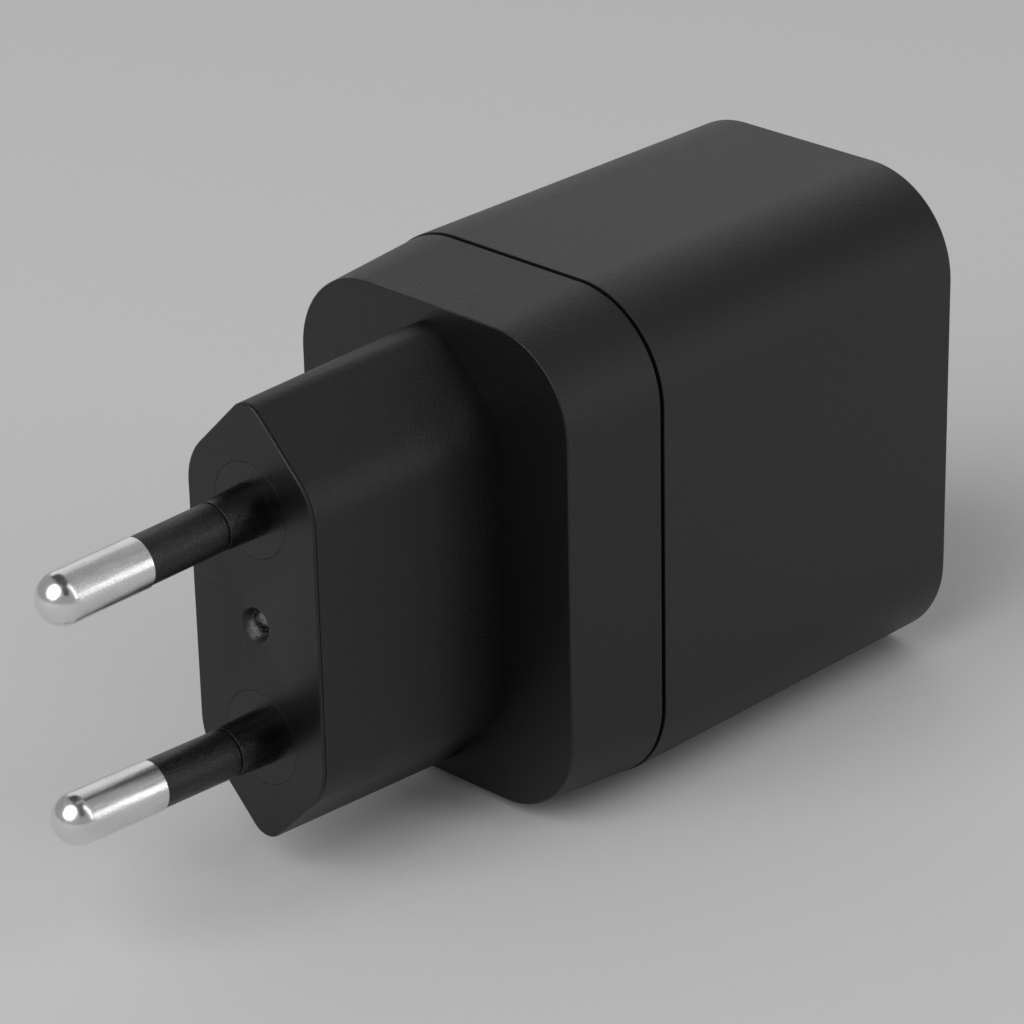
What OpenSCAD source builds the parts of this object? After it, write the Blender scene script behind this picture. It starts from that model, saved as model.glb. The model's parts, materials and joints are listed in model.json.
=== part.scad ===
// USB wall charger with a two-pin Europlug nose.
// Frame: the origin is the centre of the plug's face, midway between the pins.
// The pins point along -Y, the body runs along +Y to the USB face, and +Z is up,
// so that the two pins stand one above the other. All sizes are in millimetres.

/* [Plug] */
// Width of the plug's face, across the line through the pins
plug_w = 13.4; // [13.4:0.1:14]
// Height of the plug's face, along the line through the pins
plug_h = 35.3; // [34.8:0.1:36]
// Length of the plug's nose, from its face to the front cover
plug_len = 18.6; // [18.4:0.1:20]
// How much wider the nose is at its root than at its face
plug_draft_w = 0.55; // [0.3:0.05:0.8]
// How much taller the nose is at its root than at its face
plug_draft_h = 1.05; // [0.5:0.05:1.2]
// Leg of the 45 degree chamfers on the nose's corners
plug_chamfer = 5.95; // [5.8:0.05:5.95]
// Radius between a side of the nose and a chamfer
plug_side_r = 5.1; // [4:0.1:6]
// Radius between a chamfer and an end of the nose
plug_end_r = 1.7; // [0.8:0.1:1.7]

/* [Pins] */
// Distance between the pins' axes at the plug's face
pin_spacing = 18.6; // [18.2:0.1:19.2]
// Distance between the pins' axes at their tips
pin_tip_spacing = 17.4; // [17:0.1:18]
// Length of a pin in front of the plug's face
pin_len = 19.7; // [18.5:0.1:19.7]
// Diameter of a pin's bare metal
pin_d = 4.0; // [3.94:0.01:4.06]
// Diameter of the insulating sleeve
sleeve_d = 3.8; // [3.6:0.05:3.8]
// Distance from the plug's face to the end of the sleeve
sleeve_end = 10.8; // [9.5:0.1:11]
// Distance from the plug's face to the end of the bush's collar
collar_end = 3.6; // [3:0.1:4]
// Diameter of the bush's disc in the plug's face
bush_d = 7.5; // [7:0.1:8]

/* [Body] */
// Width of the body
body_w = 29.9; // [29.8:0.1:31]
// Height of the body, along the line through the pins
body_h = 41.1; // [41:0.1:43]
// Radius of the body's long edges
body_r = 8.2; // [7.6:0.1:8.6]
// Length of the main housing, from the seam to the USB face
housing_len = 33.8; // [33.7:0.1:38]
// Length of the front cover, from the nose's root to the seam
cover_len = 9.3; // [9.2:0.1:10]
// How far the front cover draws in, on each side, from the seam to its front face
cover_draft = 0.8; // [0.5:0.05:1]
// How far the main housing stands proud of the front cover at the seam, on each side
seam_step = 0.1; // [0:0.05:0.15]
// Width of the groove between the front cover and the main housing
seam_gap = 0.3; // [0.2:0.05:0.4]
// Thickness of the walls
wall = 2.0; // [1.9:0.05:2.1]
// Chamfer around the USB face
rear_chamfer = 0.15; // [0.1:0.05:0.6]

/* [USB ports] */
// Height of the USB-C port above the middle
usb_c_z = 8.0; // [7.6:0.1:8.2]
// Height of the USB-A port, below the middle
usb_a_z = -8.0; // [-8.2:0.1:-7.8]
// How far the ports' shells sit back from the USB face
port_recess = 0.3; // [0.2:0.1:0.5]

/* [Hidden] */
$fn = 64;

black_plastic = [0.09, 0.09, 0.095];
nickel = [0.78, 0.77, 0.75];
board_green = [0.08, 0.30, 0.16];
copper = [0.72, 0.42, 0.22];
ferrite = [0.20, 0.19, 0.19];
chip_black = [0.12, 0.12, 0.13];

// Stations along the body
seam_y = plug_len + cover_len;
rear_y = seam_y + housing_len;
port_y = rear_y - port_recess;

// Centres of the body's four long edges. Every section of the body shares them.
edge_x = body_w / 2 - body_r;
edge_z = body_h / 2 - body_r;

// Radii, about those centres, of the shells' inner faces
cavity_r = body_r - wall;
cavity_x = body_w / 2 - wall;
cover_r = body_r - seam_step;
lip_r = body_r - wall / 2;
lip_len = 2.5;
lip_clearance = 0.05;
cover_wall = 2.2;
cover_cavity_r = cavity_r - 0.6;

// Plug
face_wall = 2.4;
nose_wall = 2.0;
nose_end_wall = 2.4;
nose_end_half = 0.6;
face_slab = 0.5;
root_depth = 1.2;
root_share = (plug_len + root_depth - face_slab) / plug_len;
dimple_d = 2.7;
dimple_depth = 0.55;
gate_d = 1.0;

// Pins. Distances along a pin are from the plug's face, towards the tip.
pin_tilt = atan((pin_spacing - pin_tip_spacing) / 2 / pin_len);
pin_core_r = 1.6;
groove_w = 0.1;
groove_r = 1.75;
sleeve_draft = 0.03;
collar_root_r = 2.1;
collar_tip_r = 1.9;
bush_depth = 4.4;
bush_flange_r = 4.3;
pin_flange_r = 2.6;
pin_flange_len = 1.0;
pin_tail_r = 1.2;
pin_tail_len = 9.4;

// Board: components stand on the face towards +X, chips lie on the face towards -X
board_top = -9.2;
board_t = 1.2;
board_under = board_top - board_t;
board_y0 = 24.6;
board_y1 = 58.9;
board_half = 16.8;
board_step = 0.5;
rail_ys = [seam_y + 3.0, seam_y + 19.4];
leg_r = 0.35;
wire_r = 0.75;
wire_y = 25.4;
wire_bend_r = 3.0;

// Components: centres are given as [y, z] on the board
bulk_r = 4.0;
bulk_top = 8.0;
bulk_places = [[42.6, -4.8], [42.6, -13.0], [34.2, -4.8]];
output_r = 3.15;
output_top = -0.4;
output_places = [[56, 0.4], [56, 14.0], [56, -14.4]];
seal_h = 1.0;
can_gap = 0.3;
sleeve_t = 0.15;

core_y = 40.1;
core_z = 8.6;
core_half_y = 6.5;
core_half_z = 9.0;
core_x0 = -8.4;
core_x1 = 8.4;
core_plate = 2.8;
core_leg_t = 2.0;
core_post_r = 3.2;
bobbin_t = 0.5;
bobbin_gap = 0.1;
flange_r = 6.7;
winding_r = 6.1;
tape_t = 0.3;

choke_y = 28.9;
choke_z = 10.6;
choke_r = 4.3;
choke_hole_r = 2.3;
choke_half_w = 1.9;
choke_span = 130;
choke_wire_d = 0.7;

varistor_y = 29.6;
varistor_z = 2.6;
varistor_r = 3.4;
varistor_t = 3.2;

fuse_y = 27.9;
fuse_z = -4.4;
fuse_len = 8.2;
fuse_r = 1.6;

filter_y = 26.2;
filter_z = -16.1;
filter_size = [12.0, 11.6, 6.9];

safety_y = 48.6;
safety_z = 12.6;
safety_r = 3.4;
safety_t = 2.8;

coupler_y = 47.4;
coupler_z = -1.7;

spreader_t = 0.5;
spreader_x0 = cavity_x - 0.2 - spreader_t;
film_t = 0.25;
film_x1 = -cavity_x + 0.15 + film_t;

// Chips on the underside: [first y, first z, length along y, length along z, thickness]
bridge_box = [27.6, 1.6, 5.0, 6.4, 1.5];
controller_box = [35.4, -6.6, 4.0, 5.0, 1.5];
transistor_box = [35.0, -15.6, 6.0, 6.4, 0.9];
rectifier_box = [48.6, 9.6, 4.0, 5.0, 1.5];
protocol_box = [50.2, -3.4, 4.0, 4.0, 0.9];

// USB-A receptacle
usb_a_w = 13.1;
usb_a_h = 5.7;
usb_a_len = 14.0;
shell_t = 0.3;
usb_a_tongue_w = 11.1;
usb_a_tongue_t = 1.84;
usb_a_tongue_z0 = 0.25;
usb_a_tongue_len = 8.6;
usb_a_block_len = 4.4;
usb_a_contact_xs = [-3.5, -1.0, 1.0, 3.5];

// USB-C receptacle
usb_c_w = 8.94;
usb_c_h = 3.16;
usb_c_len = 9.0;
usb_c_tongue_w = 6.69;
usb_c_tongue_t = 0.7;
usb_c_tongue_len = 4.6;
usb_c_block_len = 2.8;
usb_c_pitch = 0.5;

// ---------------------------------------------------------------- helpers

// Extrudes an outline drawn in X and Z from y0 to y1
module extrude_y(y0, y1) {
    translate([0, y1, 0])
        rotate([90, 0, 0])
            linear_extrude(y1 - y0)
                children();
}

// A cylinder along Y
module rod_y(x, z, r, y0, y1) {
    translate([x, y0, z])
        rotate([-90, 0, 0])
            cylinder(h = y1 - y0, r = r);
}

// A cylinder that stands on the board, along X
module rod_x(y, z, r, x0, x1) {
    translate([x0, y, z])
        rotate([0, 90, 0])
            cylinder(h = x1 - x0, r = r);
}

// A cylinder along Z
module rod_z(x, y, r, z0, z1) {
    translate([x, y, z0])
        cylinder(h = z1 - z0, r = r);
}

// A box between two corners
module box(low, high) {
    translate(low)
        cube(high - low);
}

// A rectangle with round corners, of which cx and cz are the corners' centres
module rounded_outline(cx, cz, r) {
    square([2 * cx + 2 * r, 2 * cz], center = true);
    square([2 * cx, 2 * cz + 2 * r], center = true);
    for (sx = [-1, 1], sz = [-1, 1])
        translate([sx * cx, sz * cz])
            circle(r);
}

// A section of the body whose long edges have the radius r
module body_outline(r) {
    rounded_outline(edge_x, edge_z, r);
}

// A section of the body that changes from radius r0 at y0 to r1 at y1
module body_taper(r0, r1, y0, y1) {
    for (sx = [-1, 1], sz = [-1, 1])
        translate([sx * edge_x, y0, sz * edge_z])
            rotate([-90, 0, 0])
                cylinder(h = y1 - y0, r1 = r0, r2 = r1);
    translate([0, 0, -edge_z])
        linear_extrude(2 * edge_z)
            polygon(taper_points(edge_x, r0, r1, y0, y1));
    translate([edge_x, 0, 0])
        rotate([0, -90, 0])
            linear_extrude(2 * edge_x)
                polygon(taper_points(edge_z, r0, r1, y0, y1));
}

function taper_points(c, r0, r1, y0, y1) =
    [[-c - r0, y0], [c + r0, y0], [c + r1, y1], [-c - r1, y1]];

// An eighth of a circle's points, from the angle a0
function arc_points(x, z, r, a0, steps) =
    [for (i = [0:steps]) [x + r * cos(a0 + 45 * i / steps), z + r * sin(a0 + 45 * i / steps)]];

function flipped(points, sx, sz) = [for (p = points) [sx * p[0], sz * p[1]]];

function reversed(points) = [for (i = [len(points) - 1:-1:0]) points[i]];

// A closed outline from the points of its first quarter
function all_quarters(quarter) = concat(
    quarter, reversed(flipped(quarter, -1, 1)),
    flipped(quarter, -1, -1), reversed(flipped(quarter, 1, -1))
);

// The nose's outline: a rectangle with chamfered corners, rounded at both ends of each
// chamfer. r1 is the radius next to the sides and r2 is the radius next to the ends.
module nose_outline(w, h, c, r1, r2) {
    quarter = concat(
        arc_points(w / 2 - r1, h / 2 - c - r1 * tan(22.5), r1, 0, 8),
        arc_points(w / 2 - c - r2 * tan(22.5), h / 2 - r2, r2, 45, 4)
    );
    polygon(all_quarters(quarter));
}

// Places children on a pin's axis, where +Z is the way that the tip points.
// side is 1 for the upper pin and -1 for the lower one.
module on_pin(side) {
    translate([0, 0, side * pin_spacing / 2])
        rotate([side * pin_tilt, 0, 0])
            rotate([90, 0, 0])
                children();
}

// ---------------------------------------------------------------- shells

module nose_section(grow_w, grow_h) {
    nose_outline(plug_w + grow_w, plug_h + grow_h, plug_chamfer, plug_side_r, plug_end_r);
}

module nose_solid() {
    extrude_y(0, face_slab)
        nose_section(0, 0);
    hull() {
        extrude_y(face_slab, 2 * face_slab)
            nose_section(0, 0);
        extrude_y(plug_len + root_depth - face_slab, plug_len + root_depth)
            nose_section(plug_draft_w * root_share, plug_draft_h * root_share);
    }
}

// The nose's inside is chamfered too, with sharp corners
module nose_hollow() {
    half_w = plug_w / 2 - nose_wall;
    half_h = plug_h / 2 - nose_end_wall;
    leg = half_w - nose_end_half;
    quarter = [[half_w, half_h - leg], [nose_end_half, half_h]];
    extrude_y(face_wall, plug_len + cover_wall + 1)
        polygon(all_quarters(quarter));
}

// The shallow dish left by the mould's gate, cut as part of a large ball
module gate_dimple() {
    ball_r = (pow(dimple_d / 2, 2) + pow(dimple_depth, 2)) / (2 * dimple_depth);
    translate([0, dimple_depth - ball_r, 0])
        sphere(ball_r);
}

module cover_lip() {
    difference() {
        extrude_y(seam_y - cover_wall, seam_y + lip_len)
            body_outline(lip_r - lip_clearance);
        extrude_y(seam_y - cover_wall - 1, seam_y + lip_len + 1)
            body_outline(cavity_r);
    }
}

module front_cover() color(black_plastic) {
    difference() {
        union() {
            body_taper(cover_r - cover_draft, cover_r, plug_len, seam_y - seam_gap / 2);
            nose_solid();
        }
        extrude_y(plug_len + cover_wall, seam_y + 1)
            body_outline(cover_cavity_r);
        nose_hollow();
        for (side = [-1, 1])
            rod_y(0, side * pin_spacing / 2, bush_d / 2, -1, face_wall + 1);
        gate_dimple();
    }
    cover_lip();
    rod_y(0, 0, gate_d / 2, dimple_depth - 0.25, dimple_depth + 0.2);
}

module port_openings() {
    play = 0.1;
    extrude_y(rear_y - wall - 1, rear_y + 1)
        translate([0, usb_a_z])
            rounded_outline(usb_a_w / 2 - 0.6, usb_a_h / 2 - 0.6, 0.6 + play);
    extrude_y(rear_y - wall - 1, rear_y + 1)
        translate([0, usb_c_z])
            rounded_outline((usb_c_w - usb_c_h) / 2, 0.01, usb_c_h / 2 - 0.01 + play);
}

// Pairs of rails that hold the board's edges, from inside the wall to over the board
module board_rails() {
    rail_t = 1.0;
    rail_len = 2.0;
    play = 0.05;
    inner_z = board_half - 0.6;
    outer_z = edge_z + cavity_r + 0.3;
    for (y = rail_ys, side = [-1, 1])
        for (x = [board_under - play - rail_t, board_top + play])
            translate([x, y, side > 0 ? inner_z : -outer_z])
                cube([rail_t, rail_len, outer_z - inner_z]);
}

module main_housing() color(black_plastic) {
    difference() {
        union() {
            extrude_y(seam_y + seam_gap / 2, rear_y - rear_chamfer)
                body_outline(body_r);
            body_taper(body_r, body_r - rear_chamfer, rear_y - rear_chamfer, rear_y);
        }
        extrude_y(seam_y - 1, rear_y - wall)
            body_outline(cavity_r);
        extrude_y(seam_y - 1, seam_y + lip_len + 0.1)
            body_outline(lip_r);
        port_openings();
    }
    board_rails();
}

// ---------------------------------------------------------------- pins

module pin() color(nickel) {
    tip_r = pin_d / 2;
    rotate_extrude() {
        difference() {
            union() {
                translate([0, sleeve_end])
                    square([tip_r, pin_len - tip_r - sleeve_end]);
                translate([0, pin_len - tip_r])
                    circle(tip_r);
            }
            translate([-tip_r - 1, 0])
                square([tip_r + 1, pin_len + 1]);
        }
        translate([0, -bush_depth])
            square([pin_core_r, sleeve_end + bush_depth]);
        translate([0, -bush_depth - 0.15 - pin_flange_len])
            square([pin_flange_r, pin_flange_len]);
        translate([0, -bush_depth - 0.2])
            square([pin_core_r, 0.2]);
        translate([0, -pin_tail_len])
            square([pin_tail_r, pin_tail_len - bush_depth]);
    }
}

module pin_upper() { on_pin(1) pin(); }

module pin_lower() { on_pin(-1) pin(); }

// The sleeve is thinnest at its tip end, and starts with a groove next to the collar
module pin_sleeve() color(black_plastic) {
    start = collar_end + groove_w;
    rotate_extrude() {
        translate([pin_core_r, collar_end])
            square([groove_r - pin_core_r, groove_w]);
        polygon([
            [pin_core_r, start], [sleeve_d / 2, start],
            [sleeve_d / 2 - sleeve_draft, sleeve_end], [pin_core_r, sleeve_end],
        ]);
    }
}

module pin_sleeve_upper() { on_pin(1) pin_sleeve(); }

module pin_sleeve_lower() { on_pin(-1) pin_sleeve(); }

module pin_bush(side) color(black_plastic) {
    z = side * pin_spacing / 2;
    difference() {
        union() {
            rod_y(0, z, bush_d / 2 - 0.02, 0, face_wall + 0.1);
            rod_y(0, z, bush_flange_r, face_wall, bush_depth - 0.2);
            on_pin(side)
                translate([0, 0, -face_wall])
                    cylinder(h = collar_end + face_wall, r1 = collar_root_r, r2 = collar_tip_r);
        }
        on_pin(side)
            translate([0, 0, -bush_depth - 1])
                cylinder(h = collar_end + bush_depth + 2, r = pin_core_r);
    }
}

module pin_bush_upper() { pin_bush(1); }

module pin_bush_lower() { pin_bush(-1); }

// ---------------------------------------------------------------- wiring

// A lead from a pin's tail straight back, round a bend and down to the board
module lead_wire(side) color("firebrick") {
    z = side * (pin_spacing / 2 + pin_tail_len * sin(pin_tilt));
    bend_y = wire_y - wire_bend_r;
    rod_y(0, z, wire_r, pin_tail_len + 0.5, bend_y);
    translate([-wire_bend_r, bend_y, z])
        rotate_extrude(angle = 90)
            translate([wire_bend_r, 0])
                circle(wire_r);
    rod_x(wire_y, z, wire_r, board_top, -wire_bend_r);
}

module lead_wire_upper() { lead_wire(1); }

module lead_wire_lower() { lead_wire(-1); }

// ---------------------------------------------------------------- board

module main_board() color(board_green) {
    difference() {
        box([board_under, board_y0, -board_half], [board_top, board_y1, board_half]);
        // Isolation slot below the optocoupler
        box(
            [board_under - 1, coupler_y + 1.9, coupler_z - 3],
            [board_top + 1, coupler_y + 2.9, coupler_z + 8]
        );
        // Round notches at the rear corners
        for (side = [-1, 1])
            translate([board_under - 1, board_y1, side * board_half])
                rotate([0, 90, 0])
                    cylinder(h = board_t + 2, r = 1.2);
        // The front corners step in, to clear the front cover
        for (side = [-1, 1])
            translate([board_under - 1, board_y0 - 1, side * board_half - board_step])
                cube([board_t + 2, seam_y - board_y0 + 1.4, 2 * board_step]);
    }
}

// A chip on the board's underside
module chip(place) color(chip_black)
    box(
        [board_under - 0.1 - place[4], place[0], place[1]],
        [board_under - 0.1, place[0] + place[2], place[1] + place[3]]
    );

// Leads along both long sides of a chip
module leads_of(place, count) {
    pitch = place[3] / count;
    for (i = [0:count - 1], side = [0, 1])
        translate([
            board_under - 0.2,
            side == 0 ? place[0] - 0.8 : place[0] + place[2],
            place[1] + (i + 0.5) * pitch - 0.2,
        ])
            cube([0.2, 0.8, 0.4]);
}

module bridge_rectifier() chip(bridge_box);

module primary_controller() chip(controller_box);

module power_transistor() chip(transistor_box);

module sync_rectifier() chip(rectifier_box);

module protocol_controller() chip(protocol_box);

module chip_leads() color("silver") {
    leads_of(bridge_box, 2);
    leads_of(controller_box, 4);
    leads_of(transistor_box, 4);
    leads_of(rectifier_box, 4);
    leads_of(protocol_box, 5);
    for (side = [0, 1], i = [0, 1])
        translate([
            board_top,
            side == 0 ? coupler_y - 0.8 : coupler_y + 4.4,
            coupler_z + 0.8 + 2.54 * i,
        ])
            cube([0.3, 0.8, 0.5]);
}

// A row of two-terminal parts on the underside
module chip_row(y, z, count, pitch, size) {
    for (i = [0:count - 1])
        translate([board_under - size[0], y, z + i * pitch])
            cube(size);
}

module chip_capacitors() color("tan") {
    chip_row(43.2, -14, 5, 2.4, [0.8, 1.6, 0.8]);
    chip_row(55.0, -13, 5, 2.4, [0.8, 2.0, 1.25]);
    chip_row(55.0, 3.4, 5, 2.4, [0.8, 2.0, 1.25]);
    chip_row(31.0, -14, 4, 2.6, [1.2, 3.2, 1.6]);
}

module chip_resistors() color([0.15, 0.15, 0.17]) {
    chip_row(43.2, 1.0, 6, 2.2, [0.5, 1.6, 0.8]);
    chip_row(46.4, -14, 6, 2.0, [0.5, 1.6, 0.8]);
    chip_row(36.0, 2.0, 5, 2.2, [0.5, 1.6, 0.8]);
    chip_row(39.4, 2.0, 5, 2.2, [0.5, 1.6, 0.8]);
}

// ---------------------------------------------------------------- mains side

module fuse() color("saddlebrown") {
    x = board_top + 1 + fuse_r;
    rod_z(x, fuse_y, fuse_r, fuse_z - fuse_len / 2, fuse_z + fuse_len / 2);
}

module varistor() color("royalblue")
    rod_z(
        board_top + 1 + varistor_r, varistor_y, varistor_r,
        varistor_z - varistor_t / 2, varistor_z + varistor_t / 2
    );

module x_capacitor() color("goldenrod")
    box(
        [board_top + 0.4, filter_y, filter_z],
        [board_top + 0.4 + filter_size[1], filter_y + filter_size[0], filter_z + filter_size[2]]
    );

module y_capacitor() color("steelblue")
    rod_y(
        board_top + 1 + safety_r, safety_z, safety_r,
        safety_y - safety_t / 2, safety_y + safety_t / 2
    );

choke_x = board_top + 1.4 + choke_r + choke_wire_d;

module choke_core() color([0.25, 0.45, 0.30])
    difference() {
        rod_y(choke_x, choke_z, choke_r, choke_y - choke_half_w, choke_y + choke_half_w);
        rod_y(choke_x, choke_z, choke_hole_r, choke_y - choke_half_w - 1, choke_y + choke_half_w + 1);
    }

// Two windings, one on each half of the ring, each as a closed sheath of wire
module choke_windings() color(copper)
    for (side = [0, 180])
        translate([choke_x, choke_y, choke_z])
            rotate([90, 0, 0])
                rotate([0, 0, side - choke_span / 2])
                    rotate_extrude(angle = choke_span)
                        difference() {
                            translate([choke_hole_r - choke_wire_d, -choke_half_w - choke_wire_d])
                                square([
                                    choke_r - choke_hole_r + 2 * choke_wire_d,
                                    2 * (choke_half_w + choke_wire_d),
                                ]);
                            translate([choke_hole_r, -choke_half_w])
                                square([choke_r - choke_hole_r, 2 * choke_half_w]);
                        }

module choke_base() color("white")
    difference() {
        box(
            [board_top, choke_y - choke_half_w - 0.6, choke_z - choke_r],
            [board_top + 2.2, choke_y + choke_half_w + 0.6, choke_z + choke_r]
        );
        rod_y(choke_x, choke_z, choke_r + choke_wire_d + 0.1, choke_y - 5, choke_y + 5);
    }

// ---------------------------------------------------------------- capacitors

module bulk_capacitor_cans() color("silver")
    for (p = bulk_places)
        rod_x(p[0], p[1], bulk_r - sleeve_t, board_top + can_gap + seal_h, bulk_top);

module bulk_capacitor_sleeves() color("midnightblue")
    for (p = bulk_places)
        difference() {
            rod_x(p[0], p[1], bulk_r, board_top + can_gap, bulk_top + sleeve_t);
            rod_x(p[0], p[1], bulk_r - sleeve_t, board_top - 1, bulk_top);
            rod_x(p[0], p[1], bulk_r - 0.9, bulk_top - 1, bulk_top + 1);
        }

module capacitor_seals() color("dimgray") {
    for (p = bulk_places)
        rod_x(p[0], p[1], bulk_r - sleeve_t, board_top + can_gap, board_top + can_gap + seal_h);
    for (p = output_places)
        rod_x(p[0], p[1], output_r, board_top + can_gap, board_top + can_gap + seal_h);
}

module output_capacitor_cans() color("silver")
    for (p = output_places)
        rod_x(p[0], p[1], output_r, board_top + can_gap + seal_h, output_top);

// ---------------------------------------------------------------- transformer

core_mid = (core_x0 + core_x1) / 2;

// One half of the core: a plate, two outer legs and a round centre post
module core_half(plate_x0, plate_x1, leg_x0, leg_x1) color(ferrite) {
    box(
        [plate_x0, core_y - core_half_y, core_z - core_half_z],
        [plate_x1, core_y + core_half_y, core_z + core_half_z]
    );
    for (side = [-1, 1])
        translate([0, 0, core_z + side * (core_half_z - core_leg_t / 2)])
            box(
                [leg_x0, core_y - core_half_y, -core_leg_t / 2],
                [leg_x1, core_y + core_half_y, core_leg_t / 2]
            );
    rod_x(core_y, core_z, core_post_r, leg_x0, leg_x1);
}

module transformer_core_upper()
    core_half(core_x1 - core_plate, core_x1, core_mid, core_x1 - core_plate);

module transformer_core_lower()
    core_half(core_x0, core_x0 + core_plate, core_x0 + core_plate, core_mid);

bobbin_x0 = core_x0 + core_plate + bobbin_gap;
bobbin_x1 = core_x1 - core_plate - bobbin_gap;
spool_r = core_post_r + bobbin_gap + bobbin_t;

module transformer_bobbin() color("ivory")
    difference() {
        union() {
            rod_x(core_y, core_z, spool_r, bobbin_x0, bobbin_x1);
            rod_x(core_y, core_z, flange_r, bobbin_x0, bobbin_x0 + bobbin_t);
            rod_x(core_y, core_z, flange_r, bobbin_x1 - bobbin_t, bobbin_x1);
        }
        rod_x(core_y, core_z, core_post_r + bobbin_gap, bobbin_x0 - 1, bobbin_x1 + 1);
    }

module wound_layer(inner_r, outer_r) {
    difference() {
        rod_x(core_y, core_z, outer_r, bobbin_x0 + bobbin_t, bobbin_x1 - bobbin_t);
        rod_x(core_y, core_z, inner_r, bobbin_x0, bobbin_x1);
    }
}

module transformer_winding() color(copper) wound_layer(spool_r, winding_r);

module transformer_tape() color("gold") wound_layer(winding_r, winding_r + tape_t);

// ---------------------------------------------------------------- legs

// Two legs from the board up to a component
module leg_pair_z(y, z, spread, x1) {
    for (side = [-1, 1])
        rod_x(y, z + side * spread, leg_r, board_top, x1);
}

module leg_pair_y(y, z, spread, x1) {
    for (side = [-1, 1])
        rod_x(y + side * spread, z, leg_r, board_top, x1);
}

module component_leads() color("silver") {
    for (p = bulk_places)
        leg_pair_z(p[0], p[1], 1.75, board_top + can_gap);
    for (p = output_places)
        leg_pair_z(p[0], p[1], 1.25, board_top + can_gap);
    leg_pair_y(varistor_y, varistor_z, 0, board_top + 1);
    leg_pair_z(safety_y, safety_z, 0, board_top + 1);
    leg_pair_y(filter_y + filter_size[0] / 2, filter_z + filter_size[2] / 2, 5, board_top + 0.4);
    leg_pair_y(core_y, core_z, 5, core_x0);
    for (side = [-1, 1])
        rod_x(core_y, core_z + side * 7, leg_r, board_top, core_x0);
    for (side = [-1, 1])
        difference() {
            rod_x(
                fuse_y, fuse_z + side * (fuse_len / 2 + leg_r), leg_r,
                board_top, board_top + 1 + fuse_r + leg_r
            );
            rod_z(
                board_top + 1 + fuse_r, fuse_y, fuse_r,
                fuse_z - fuse_len / 2, fuse_z + fuse_len / 2
            );
        }
}

module optocoupler() color([0.92, 0.92, 0.9])
    box(
        [board_top + 0.3, coupler_y, coupler_z],
        [board_top + 3.6, coupler_y + 4.4, coupler_z + 4.6]
    );

// ---------------------------------------------------------------- thermal parts

// A sheet against one side wall of the housing, between x0 and x1
module side_sheet(x0, x1) {
    half = edge_z - 0.5;
    box([x0, seam_y + 3.4, -half], [x1, rear_y - wall - 0.6, half]);
}

module heat_spreader() color("silver")
    side_sheet(spreader_x0, spreader_x0 + spreader_t);

module insulating_sheet() color("darkslategray")
    side_sheet(film_x1 - film_t, film_x1);

module thermal_pad() color("lightgray")
    box([core_x1, core_y - 5.5, core_z - 6], [spreader_x0, core_y + 5.5, edge_z - 0.9]);

// ---------------------------------------------------------------- USB-A

module usb_a_outline(inset) {
    translate([0, usb_a_z])
        rounded_outline(usb_a_w / 2 - 0.6, usb_a_h / 2 - 0.6, 0.6 - inset);
}

module usb_a_shell() color("silver") {
    difference() {
        extrude_y(port_y - usb_a_len, port_y)
            usb_a_outline(0);
        extrude_y(port_y - usb_a_len - 1, port_y + 1)
            usb_a_outline(shell_t);
    }
    // Feet to the board
    for (y = [port_y - 12, port_y - 6], side = [-1, 1])
        translate([
            board_top, y,
            usb_a_z + side * (usb_a_h / 2 - shell_t / 2) - shell_t / 2,
        ])
            cube([-usb_a_w / 2 + 1.2 - board_top, 1.6, shell_t]);
}

module usb_a_insulator() color(chip_black) {
    block_y1 = port_y - usb_a_len + usb_a_block_len;
    extrude_y(port_y - usb_a_len, block_y1)
        usb_a_outline(shell_t);
    translate([0, 0, usb_a_z + usb_a_tongue_z0])
        box(
            [-usb_a_tongue_w / 2, block_y1 - 0.1, 0],
            [usb_a_tongue_w / 2, block_y1 + usb_a_tongue_len, usb_a_tongue_t]
        );
}

module usb_a_contacts() color("gold") {
    block_y1 = port_y - usb_a_len + usb_a_block_len;
    for (x = usb_a_contact_xs)
        translate([x, 0, usb_a_z + usb_a_tongue_z0])
            box(
                [-0.5, block_y1, -0.25],
                [0.5, block_y1 + usb_a_tongue_len - (abs(x) > 2 ? 0.9 : 1.9), 0]
            );
    for (i = [-1.5:1:1.5])
        translate([0, port_y - usb_a_len - 0.4, usb_a_z + i * 1.2])
            box([board_top, 0, -0.2], [-2, 0.4, 0.2]);
}

// ---------------------------------------------------------------- USB-C

module usb_c_outline(inset) {
    translate([0, usb_c_z])
        rounded_outline((usb_c_w - usb_c_h) / 2, 0.01, usb_c_h / 2 - 0.01 - inset);
}

module usb_c_shell() color("silver") {
    difference() {
        extrude_y(port_y - usb_c_len, port_y)
            usb_c_outline(0);
        extrude_y(port_y - usb_c_len - 1, port_y + 1)
            usb_c_outline(shell_t);
    }
    for (y = [port_y - 8, port_y - 4], side = [-1, 1])
        translate([
            board_top, y,
            usb_c_z + side * (usb_c_h / 2 - shell_t / 2) - shell_t / 2,
        ])
            cube([-usb_c_w / 2 + 1.8 - board_top, 1.2, shell_t]);
}

module usb_c_insulator() color(chip_black) {
    block_y1 = port_y - usb_c_len + usb_c_block_len;
    extrude_y(port_y - usb_c_len, block_y1)
        usb_c_outline(shell_t);
    translate([0, 0, usb_c_z])
        box(
            [-usb_c_tongue_w / 2, block_y1 - 0.1, -usb_c_tongue_t / 2],
            [usb_c_tongue_w / 2, block_y1 + usb_c_tongue_len, usb_c_tongue_t / 2]
        );
}

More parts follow.
